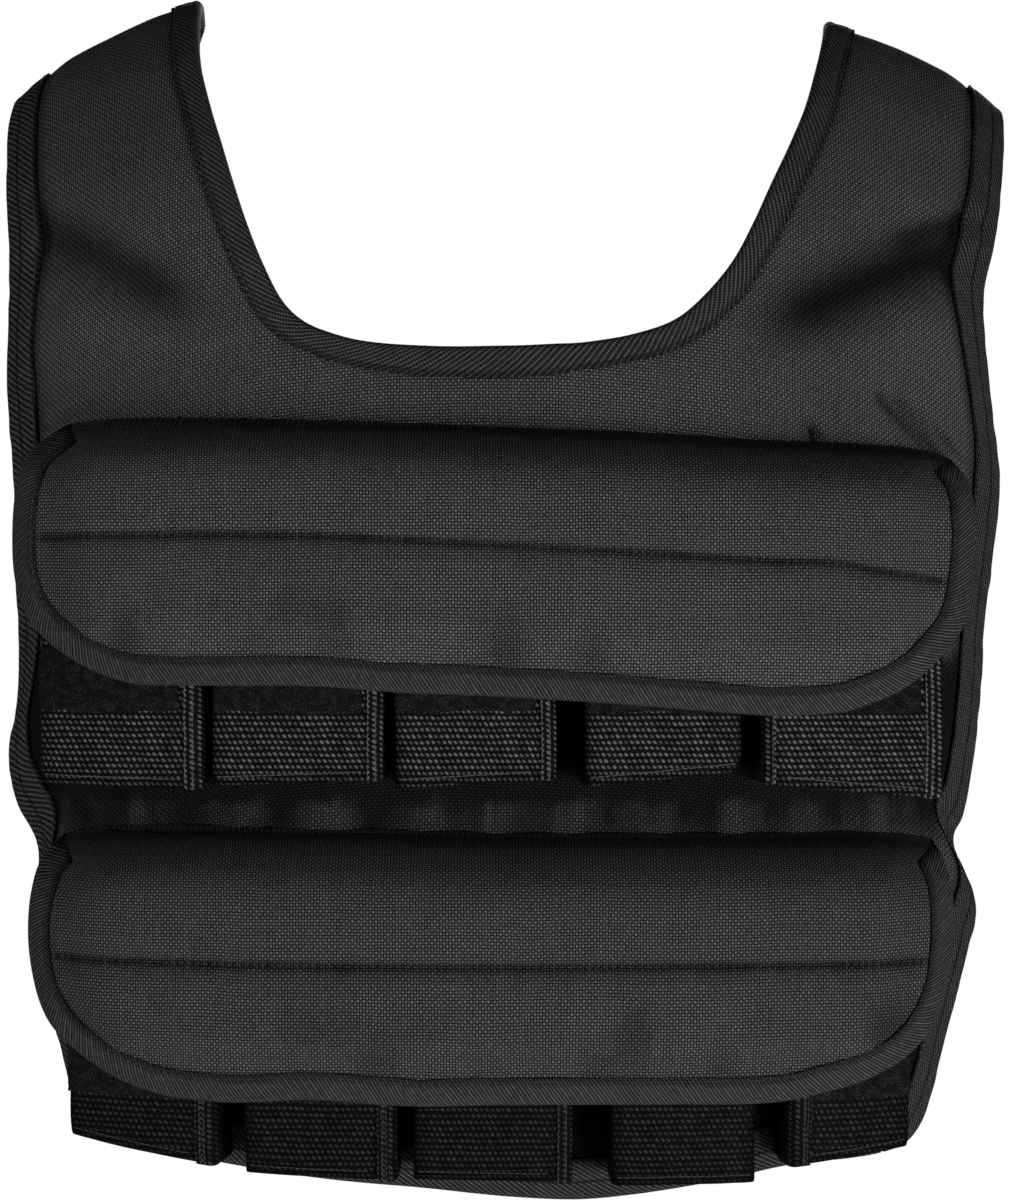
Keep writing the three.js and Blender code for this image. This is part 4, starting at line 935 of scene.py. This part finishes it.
def flap_piece(name, flap, seed):
    u = np.concatenate([np.linspace(0, 0.06, 16)[:-1], np.linspace(0.06, 0.94, 210), np.linspace(0.94, 1, 16)[1:]])
    f = np.concatenate([np.linspace(-0.004, 0.06, 8)[:-1], np.linspace(0.06, 0.9, 72), np.linspace(0.9, 1, 13)[1:]])
    U, F = np.meshgrid(u, f, indexing="ij")
    x, z = flap.at(U, F)
    stand = flap.stand(x, z)
    outer = aim_front(x, z, stand + flap.thick(x, z, seed))
    inner = aim_front(x, z, stand)
    across = np.concatenate([np.zeros((1, len(f))), np.cumsum(np.linalg.norm(np.diff(outer, axis=0), axis=2), axis=0)])
    middle = np.argmin(np.abs(x[:, len(f) // 2]))
    across = across - across[[middle]]
    # threads run square: measure across at mid height, down at each column
    ref = np.linalg.norm(np.diff(outer[:, len(f) // 2], axis=0), axis=1)
    ref = np.concatenate([[0], np.cumsum(ref)])
    ref -= ref[middle]
    uvx = np.interp(x, x[:, len(f) // 2], ref)
    down = np.concatenate([np.zeros((len(u), 1)), np.cumsum(np.linalg.norm(np.diff(outer, axis=1), axis=2), axis=1)], 1)
    centre = down[middle]
    zz = z[middle]
    uvz = np.interp(-z, -zz, centre)
    uv = np.stack([uvx, -uvz], -1)
    # painted shade: the mark darkens the cloth in a dotted line along the seam groove and a wider band just below it,
    # over the top of the flap where it faces up, in the sagging valleys of its lower part, a little over its upper
    # half, and all over, more on the lower flap
    off = z - flap.seam(x)
    dots = 0.5 + 0.5 * np.cos(2 * np.pi * x / 3.4 + 1.5 * noise(x / 9, 0.5, 97 + seed))
    mark = np.exp(-(off / 1.25) ** 2) * (0.5 + 0.5 * dots) + 0.34 * np.exp(-(np.abs(off + 2.0) / 4.5) ** 1.5) * (0.6 + 0.4 * noise(x / 4.0, 0.5, 95 + seed))
    mark = mark * smooth((U - 0.01) / 0.03) * smooth((0.99 - U) / 0.03)
    mark = mark + 0.34 * smooth((0.10 - F) / 0.10)
    valley = np.clip(-noise(x / 17, z / 55, 87 + seed), 0, 1) * smooth((F - 0.55) / 0.2) * smooth((0.95 - F) / 0.1)
    mark = mark + 0.50 * valley + 0.06 * smooth((0.50 - F) / 0.2) + (0.18 if seed else 0.06)
    return shell(name, outer, inner, uv, cloth, sharp=60, painted_shade=np.clip(mark, 0, 1))


def flap_tape(name, flap, width, seed):
    x, z, nx, nz, run = border(flap, 460)
    # inward is to the right of the run when it goes down the left side
    cx, cz = 0.0, 0.5 * (flap.top(0.0) + flap.bottom(0.0))
    flip = np.where((nx * (cx - x) + nz * (cz - z)).mean() < 0, -1.0, 1.0)
    nx, nz = nx * flip, nz * flip
    edge = FLAP_EDGE
    outer, inner, across = [], [], []
    for w in np.linspace(width, 0.9, 13):
        t = (width - w) / (width - 0.9)
        dip = -0.35 * math.exp(-((w - (width - 1.5)) / 0.7) ** 2) + 0.25 * math.exp(-((w - width * 0.5) / 3.5) ** 2)
        outer.append((w, 1.0, 0.30 + TAPE + dip)), inner.append((w, 1.0, 0.30 + dip * 0.5)), across.append(w)
    for k in np.linspace(0.5, -0.5, 9)[1:-1]:
        a = math.pi * k
        h = 0.5 + 0.5 * math.sin(a)
        outer.append((0.9 - 2.2 * math.cos(a), h, (0.30 + TAPE) * math.sin(a)))
        inner.append((0.9 - 1.3 * math.cos(a), h, 0.30 * math.sin(a)))
        across.append(across[-1] - 0.85)
    for w in np.linspace(0.9, width - 0.5, 7):
        outer.append((w, 0.0, -0.30 - TAPE)), inner.append((w, 0.0, -0.30)), across.append(-5.0 - w)
    outer, inner, across = np.array(outer), np.array(inner), np.array(across)

    wander = 0.45 * noise(run[:, None] / 15, 0.5, seed) + 0.25 * noise(run[:, None] / 4.5, 0.5, seed + 1)
    ripple = 0.30 * noise(run[:, None] / 6.0, across[None] / 5, seed + 2) + 0.40 * noise(run[:, None] / 21, across[None] / 12, seed + 3)
    low = smooth((flap.top(x) - 40 - z) / 40)[:, None]
    # the two ends go down into the seam at the top
    sink = (2.2 * (1 - smooth(np.minimum(run, run[-1] - run) / 4.0)))[:, None]

    def side(table):
        w = table[None, :, 0] + wander * np.clip(table[None, :, 0] / width, 0, 1)
        px, pz = x[:, None] + nx[:, None] * w, z[:, None] + nz[:, None] * w
        held = np.maximum(w, 0.0)
        hx, hz = x[:, None] + nx[:, None] * held, z[:, None] + nz[:, None] * held
        stand = flap.stand(hx, hz)
        thick = flap.thick(hx, hz)
        flat = np.minimum(thick, FLAP_EDGE + 0.9)
        return aim_front(px, pz, stand + flat * table[None, :, 1] + table[None, :, 2] - sink
                         + ripple * np.where(table[None, :, 1] > 0.5, 1.0, 0.3) * mix(0.6, 1.0, low))
    uv = np.stack([run[:, None] + 0 * across[None], across[None] + 0 * run[:, None]], -1)
    # painted shade: the tape is darkened near its two ends, where they sink into the seam at the top
    ends = 1 - smooth(np.minimum(run, run[-1] - run) / 8.0)
    return shell(name, side(outer), side(inner), uv, tape_flap, painted_shade=ends[:, None] + 0 * across[None])


flap_up, flap_low = Flap(FLAPS["upper"]), Flap(FLAPS["lower"])
upper_flap = flap_piece("upper_flap_padding", flap_up, 0)
lower_flap = flap_piece("lower_flap_padding", flap_low, 5)
upper_tape = flap_tape("upper_flap_tape", flap_up, 10.0, 101)
lower_tape = flap_tape("lower_flap_tape", flap_low, 9.6, 111)


# ------------------------------------------------------------------ pockets
def pocket_path(left, right, depth, n_wall=6, n_front=30, corner=3.4, bulge=0.9):
    """(x, out) round a pocket seen from above, from the left side's back to the right side's back."""
    path = [(left + 0.6, o) for o in np.linspace(POCKET_BACK - 0.6, depth - corner, n_wall)]
    for k in range(1, 6):
        a = k / 6 * math.pi / 2
        path.append((left + corner * (1 - math.sin(a)) + 0.6 * (1 - k / 6) - 0 * k, depth - corner + corner * (1 - math.cos(a)) ))
    path = [(left + 0.6, o) for o in np.linspace(POCKET_BACK - 0.6, depth - corner, n_wall)]
    for k in range(1, 6):
        a = k / 6 * math.pi / 2
        path.append((left + corner - (corner - 0.6 * (1 - k / 6)) * math.cos(a), depth - corner + corner * math.sin(a)))
    for t in np.linspace(0, 1, n_front):
        path.append((mix(left + corner, right - corner, t), depth + bulge * math.sin(math.pi * t) ** 0.8))
    for k in range(1, 6):
        a = (1 - k / 6) * math.pi / 2
        path.append((right - corner + (corner - 0.6 * k / 6) * math.cos(a), depth - corner + corner * math.sin(a)))
    path += [(right - 0.6, o) for o in np.linspace(depth - corner, POCKET_BACK - 0.6, n_wall)]
    return np.array(path)


def inset_path(path, by):
    t = np.gradient(path, axis=0)
    t /= np.maximum(np.linalg.norm(t, axis=1, keepdims=True), 1e-9)
    n = np.stack([t[:, 1], -t[:, 0]], -1)
    return path + n * by


def pocket_piece(level, number, spec, p, seed):
    many = Many()
    path = pocket_path(p["left"], p["right"], POCKET_DEPTH)
    under = inset_path(path, WEBBING)
    run = np.concatenate([[0], np.cumsum(np.linalg.norm(np.diff(path, axis=0), axis=1))])
    run -= run[np.argmin(np.abs(path[:, 0] - 0.5 * (p["left"] + p["right"])))]
    width = p["right"] - p["left"]

    def low(x):
        return mix(p["low_left"], p["low_right"], np.clip((x - p["left"]) / width, 0, 1))
    rows = np.concatenate([np.linspace(0, 0.1, 12)[:-1], np.linspace(0.1, 1, 44)])

    def grid(line, inner):
        x = line[:, None, 0] + 0 * rows[None]
        z0 = low(line[:, 0])[:, None] + (0.3 if inner else 0.0)
        h = rows[None] * (spec["top"] - z0)
        z = z0 + h
        # the lower edge tucks under, the front swells with what it holds and sways a little
        tuck = -1.3 * np.clip(1 - h / 4.5, 0, 1) ** 2
        swell = 0.5 * np.sin(np.pi * np.clip(h / 55, 0, 1)) + 0.45 * noise(x / 16, z / 12, seed) + 0.16 * noise(x / 5, z / 5, seed + 1)
        shadow = np.clip((line[:, None, 1] - (POCKET_DEPTH - 6)) / 6, 0, 1)
        seam = -0.35 * np.exp(-((h - 3.4) / 0.7) ** 2)
        out = line[:, None, 1] + (tuck + np.minimum(swell, 0.9) + seam) * shadow
        sway = 0.5 * noise(z / 25, 0.5 + 0 * z, seed + 2)
        return on_front(x + sway * (1 - 0.3 * shadow), z, out)
    outer, inner = grid(path, False), grid(under, True)
    z_uv = (low(path[:, 0])[:, None] + rows[None] * (spec["top"] - low(path[:, 0])[:, None]))
    uv = np.stack([run[:, None] + 0 * rows[None], z_uv], -1)
    # painted shade: the mark darkens the pocket's side walls, its front near the side edges and its bottom few
    # millimetres
    ends = np.minimum(path[:, 0] - p["left"], p["right"] - path[:, 0])
    wall = smooth((POCKET_DEPTH + 0.6 - path[:, 1]) / 5)[:, None]
    high = rows[None] * (spec["top"] - low(path[:, 0])[:, None])
    mark = np.clip(wall + 0.45 * (1 - smooth(ends / 9))[:, None] + 0.5 * (1 - smooth((high - 2) / 5)), 0, 1)
    many.shell(outer, inner, uv, 0, painted_shade=mark)
    # bottom wall, let into the sides
    xs = np.linspace(p["left"] + WEBBING + 0.5, p["right"] - WEBBING - 0.5, 16)
    outs = np.linspace(POCKET_BACK - 0.4, POCKET_DEPTH - WEBBING - 0.9, 9)
    X, O = np.meshgrid(xs, outs, indexing="ij")
    sag = 0.5 * np.sin(np.pi * (X - xs[0]) / (xs[-1] - xs[0])) * np.sin(np.pi * (O - outs[0]) / (outs[-1] - outs[0]))
    many.shell(on_front(X, low(X) + 0.5 - 0.3 * sag, O), on_front(X, low(X) + 2.3 - 0.3 * sag, O), np.stack([X, O], -1), 0)
    # edge strips of upright ribs over the corner, with their stitches
    light = Many()
    for which in ("left", "right"):
        if p["strip"] not in (which, "both"):
            continue
        wide = 8.6 if p["strip"] != "both" else (4.0 if which == "left" else 7.6)
        wide = wide if number == 5 else 6.9
        x = path[:, 0]
        if which == "right":
            keep = np.where((x > p["right"] - wide) & (np.arange(len(path)) > len(path) // 2) & (path[:, 1] > 9.0))[0]
        else:
            keep = np.where((x < p["left"] + wide) & (np.arange(len(path)) < len(path) // 2) & (path[:, 1] > 9.0))[0]
        sel = slice(keep[0], keep[-1] + 1)
        o1, _ = outer[sel], inner[sel]
        du = np.gradient(outer, axis=0)[sel]
        dv = np.gradient(outer, axis=1)[sel]
        n = unit(np.cross(du, dv))
        if n[..., 1].mean() > 0:
            n = -n
        top_face = o1 + n * 1.15
        bottom_face = o1 + n * 0.12
        rr = run[sel]
        # painted shade: the edge strip is darkened where it runs along the pocket's side wall
        many.shell(top_face, bottom_face, np.stack([(rr - (rr[0] if which == "right" else rr[-1]))[:, None] + 0 * rows[None], z_uv[sel]], -1), 1, painted_shade=0.8 * wall[sel] + 0 * rows[None])
        first = 0 if which == "right" else -1
        inward = 1 if which == "right" else -1
        for d in (0.9, 3.0) if wide > 5 else (0.9,):
            k = np.argmin(np.abs(np.abs(rr - rr[first]) - d))
            stitch_row(light, top_face[k], n[k], pitch=2.5, radius=0.26, lift=0.18, seed=seed + int(d * 7))
    ob = many.build(f"pocket_{level}_{number}_webbing", [webbing, webbing_up] if level == "upper" else [webbing_shaded_low, webbing_shaded_low_up])
    # the light line of stitches above the bottom edge of the front
    face = np.where(path[:, 1] > POCKET_DEPTH - 0.2)[0]
    if p["strip"] in ("right", "both"):
        face = face[path[face, 0] < p["right"] - 8.6]
    if p["strip"] in ("left", "both"):
        face = face[path[face, 0] > p["left"] + 6.0]
    h = 3.4
    line, normal = [], []
    for k in face:
        col = outer[k]
        zz = rows * (spec["top"] - low(path[k, 0]))
        j = np.interp(h, zz, np.arange(len(rows)))
        a = int(j)
        line.append(mix(col[a], col[a + 1], j - a))
        normal.append([0, -1, 0])
    line, normal = np.array(line), np.array(normal, float)
    stitch_row(light, line, normal, pitch=2.7, share=0.86, radius=0.27, lift=0.30, seed=seed + 3)
    light.build(f"pocket_{level}_{number}_stitches", [thread_light if level == "upper" else thread_shaded_low])
    return ob


def strip_piece(level, number, spec, p, seed):
    """The fuzzy strip: a thin felted pad with a rough stitched lower edge."""
    l = p["left"] + 1.4
    r = p["right"] - ((9.4 if number == 5 else 7.7) if p["strip"] in ("right", "both") else 1.4)
    if p["strip"] in ("left", "both"):
        l += 3.4
    xs = np.linspace(l, r, 62)
    zs = np.linspace(spec["strip"] + 0.4, spec["strip"] + 26, 28)
    X, Z = np.meshgrid(xs, zs, indexing="ij")
    t = (X - l) / (r - l)
    bulge = 0.9 * np.sin(np.pi * np.clip((X - p["left"]) / (p["right"] - p["left"]), 0, 1)) ** 0.8
    rag = 0.7 * noise(X / 3.0, 0.5, seed) + 0.9 * noise(X / 17.0, 0.5, seed + 1)
    Zr = Z + rag * np.clip(1 - (Z - zs[0]) / 6, 0, 1)
    edge = np.minimum(np.minimum(smooth(t / 0.03), smooth((1 - t) / 0.03)), smooth((Z - zs[0] + 0.6) / 2.2))
    fuzz = 0.28 * noise(X / 0.9, Z / 0.9, seed + 2) + 0.22 * noise(X / 2.7, Z / 2.3, seed + 3)
    seam = -0.3 * np.exp(-((Z - zs[0] - 2.0) / 0.6) ** 2)
    base = POCKET_DEPTH + bulge + 0.75
    outer = on_front(X, Zr, base + 0.35 + (STRIP - 0.3 + fuzz) * edge + seam)
    inner = on_front(X, Zr, base)
    ob = shell(f"loop_strip_{level}_{number}_pile", outer, inner, np.stack([X, Z], -1), fuzzy, sharp=70)
    return ob


def stitches(name, rows, mat):
    many = Many()
    for k, (line, normal, kw) in enumerate(rows):
        stitch_row(many, line, normal, seed=200 + k, **kw)
    return many.build(name, [mat])


seed = 300
for level, spec in POCKETS.items():
    for number, p in enumerate(spec["row"], 1):
        seed += 10
        pocket_piece(level, number, spec, p, seed)
        strip_piece(level, number, spec, p, seed + 5)


# ------------------------------------------------------------------ sewing on panels and flaps
def panel_line(pan, side, away, lo, hi, count, over):
    s = pan.stations(count, lo, hi, share=1.0 if side == "outer" else 0.0)
    A = np.full(count, away)
    p = pan.edge(s, side, A, np.full(count, over))
    q = pan.edge(s, side, A, np.full(count, over + 1.0))
    return p, q - p


rows = []
for pan, side, width, lo, hi, count in (
    (front, "neck", NECK_TAPE, 0.05, 9.95, 500), (back, "neck", NECK_TAPE, 0.05, 9.95, 400),
    (front, "outer", SIDE_TAPE, 0.05, 3.92, 500), (front, "outer", SIDE_TAPE, 6.08, 9.95, 500),
    (back, "outer", SIDE_TAPE, 0.05, 3.93, 400), (back, "outer", SIDE_TAPE, 6.07, 9.95, 400),
    (front, "outer", SIDE_TAPE, 3.96, 6.04, 300), (back, "outer", SIDE_TAPE, 3.96, 6.04, 300),
):
    p, n = panel_line(pan, side, width - 1.7, lo, hi, count, FACE - 0.20)
    rows.append((p, n, dict(pitch=3.2, radius=0.27, lift=0.22)))
stitches("panel_stitches", rows, thread_dark)

rows = []
for flap, width, seed in ((flap_up, 10.0, 0), (flap_low, 9.6, 5)):
    x = np.linspace(flap.spec["sides"]["left"][3] + 12, flap.spec["sides"]["right"][3] - 12, 400)
    z = flap.seam(x)
    p = flap.place(x, z, 0.05, seed)
    rows.append((p, flap.place(x, z, 1.0, seed) - p, dict(pitch=3.4, radius=0.30, lift=0.22)))
    bx, bz, nx, nz, run = border(flap, 620)
    cz = 0.5 * (flap.top(0.0) + flap.bottom(0.0))
    sgn = -1.0 if (nx * (0 - bx) + nz * (cz - bz)).mean() < 0 else 1.0
    w = width - 1.5
    px, pz = bx + sgn * nx * w, bz + sgn * nz * w
    height = flap.stand(px, pz) + np.minimum(flap.thick(px, pz), FLAP_EDGE + 0.9) + 0.30 + TAPE - 0.22
    keep = np.minimum(run, run[-1] - run) > 7
    px, pz, height = px[keep], pz[keep], height[keep]
    p = aim_front(px, pz, height)
    rows.append((p, aim_front(px, pz, height + 1) - p, dict(pitch=3.2, radius=0.27, lift=0.25)))
stitches("flap_stitches", rows, thread_dark)


# ------------------------------------------------------------------ side belts
def belt_piece(name, sign, front_edge, back_edge):
    high, low, reach = -372.0, -418.0, 34.0
    under = -GAP - TAPE - 1.3
    zs = np.linspace(high, low, 25)
    columns = []
    for z in zs:
        list_a = [on_front(front_edge - sign * (4 + k * reach), z, under) for k in np.linspace(1, 0, 12)]
        list_b = [on_back(back_edge - sign * (4 + k * reach), z, under) for k in np.linspace(0, 1, 12)]
        a, b = list_a[-1], list_b[0]
        middle = [mix(a, b, k) + np.array([sign * 5 * math.sin(math.pi * k), 0, 0]) for k in np.linspace(0, 1, 22)[1:-1]]
        columns.append(np.array(list_a + middle + list_b))
    grid = np.array(columns).transpose(1, 0, 2)
    t = np.gradient(grid, axis=0)
    t[..., 2] = 0
    t = unit(t)
    inward = np.stack([-t[..., 1], t[..., 0], 0 * t[..., 0]], -1) * sign
    run = np.concatenate([[0], np.cumsum(np.linalg.norm(np.diff(grid[:, 12], axis=0), axis=1))])
    wave = 0.35 * noise(run[:, None] / 30, zs[None] / 18, 140)
    crown = 0.25 * np.sin(np.pi * (zs - zs[0]) / (zs[-1] - zs[0]))[None]
    outer = grid + inward * (-wave - crown - 0.0)[..., None]
    inner = grid + inward * (BELT - wave)[..., None]
    uv = np.stack([run[:, None] + 0 * zs[None], zs[None] + 0 * run[:, None]], -1)
    return shell(name, outer, inner, uv, belting)


belt_left = belt_piece("side_belt_left_webbing", -1, -198, -200)
belt_right = belt_piece("side_belt_right_webbing", 1, 188, 195)


# ------------------------------------------------------------------ what stands for what
SLOTS = [
    ("front_panel_cloth", "woven_cloth", ["front_panel"]),
    ("back_panel_cloth", "woven_cloth", ["back_panel"]),
    ("neck_tape", "binding_tape", ["neck_binding"]),
    ("side_tape_left", "binding_tape", ["side_binding_left"]),
    ("side_tape_right", "binding_tape", ["side_binding_right"]),
    ("hem_tape_front", "binding_tape", ["hem_binding_front"]),
    ("hem_tape_back", "binding_tape", ["hem_binding_back"]),
    ("upper_flap_padding", "woven_cloth", ["upper_flap"]),
    ("lower_flap_padding", "woven_cloth", ["lower_flap"]),
    ("upper_flap_tape", "binding_tape", ["upper_flap_binding"]),
    ("lower_flap_tape", "binding_tape", ["lower_flap_binding"]),
    ("side_belt_left_webbing", "plain_webbing", ["side_belt_left"]),
    ("side_belt_right_webbing", "plain_webbing", ["side_belt_right"]),
]
for level in POCKETS:
    for k in range(1, 6):
        SLOTS.append((f"pocket_{level}_{k}_webbing", "ribbed_webbing", [f"pocket_{level}_{k}"]))
        SLOTS.append((f"loop_strip_{level}_{k}_pile", "loop_strip", [f"loop_strip_{level}_{k}"]))
for name, slot, nodes in SLOTS:
    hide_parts(*nodes)
for ob in pieces.values():
    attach(ob, "root")

# ------------------------------------------------------------------ floor, light, camera
floor_mat = Finish("pale_floor")
tone = floor_mat.noise(floor_mat.vector(0.0, 0.0), 3.0)
floor_mat.put(floor_mat.bsdf.inputs["Base Color"], (0.86, 0.86, 0.86))
floor_mat.put(floor_mat.bsdf.inputs["Roughness"], 0.8)
me = bpy.data.meshes.new("floor")
me.from_pydata([(-3, -3, -1.35), (3, -3, -1.35), (3, 3, -1.35), (-3, 3, -1.35)], [], [(0, 1, 2, 3)])
me.materials.append(floor_mat.mat)
floor = bpy.data.objects.new("floor", me)
bpy.context.scene.collection.objects.link(floor)

world = bpy.data.worlds.new("studio")
bpy.context.scene.world = world
world.use_nodes = True
wt = world.node_tree
wt.nodes.clear()
w_out = wt.nodes.new("ShaderNodeOutputWorld")
w_mix = wt.nodes.new("ShaderNodeMixShader")
w_path = wt.nodes.new("ShaderNodeLightPath")
w_room = wt.nodes.new("ShaderNodeBackground")
w_seen = wt.nodes.new("ShaderNodeBackground")
w_room.inputs[0].default_value = (1, 1, 1, 1)
w_room.inputs[1].default_value = 0.07
w_seen.inputs[0].default_value = (1, 1, 1, 1)
w_seen.inputs[1].default_value = 1.0
wt.links.new(w_path.outputs["Is Camera Ray"], w_mix.inputs[0])
wt.links.new(w_room.outputs[0], w_mix.inputs[1])
wt.links.new(w_seen.outputs[0], w_mix.inputs[2])
wt.links.new(w_mix.outputs[0], w_out.inputs[0])


def soft_light(name, where, toward, size, power):
    data = bpy.data.lights.new(name, "AREA")
    data.shape = "RECTANGLE"
    data.size, data.size_y = size
    data.energy = power
    ob = bpy.data.objects.new(name, data)
    ob.location = where
    ob.rotation_euler = (Vector(toward) - Vector(where)).to_track_quat("-Z", "Y").to_euler()
    ob.visible_camera = False
    bpy.context.scene.collection.objects.link(ob)
    return ob


soft_light("key", (1.30, -1.7, -0.90), (0, -0.1, -0.25), (0.8, 0.8), 35)
soft_light("fill", (-1.65, -1.7, -0.60), (0, -0.1, -0.25), (0.9, 0.9), 20)
soft_light("back", (0.3, 2.6, 0.2), (0, 0.0, -0.25), (1.8, 1.6), 45)

scene = bpy.context.scene
scene.view_settings.view_transform = "Standard"
cam_data = bpy.data.cameras.new("photo_view")
cam_data.sensor_fit = "VERTICAL"
cam_data.sensor_height = 36.0
cam_data.sensor_width = 36.0
cam_data.lens = 3665.0 / 1200.0 * 36.0
cam_data.clip_start, cam_data.clip_end = 0.05, 50
# the image's centre is 508, 600 of 1016 x 1200, so no shift is needed
camera = bpy.data.objects.new("photo_view", cam_data)
camera.location = (0, -1.6, -0.243)
camera.rotation_euler = (math.pi / 2, 0, 0)
scene.collection.objects.link(camera)
scene.camera = camera
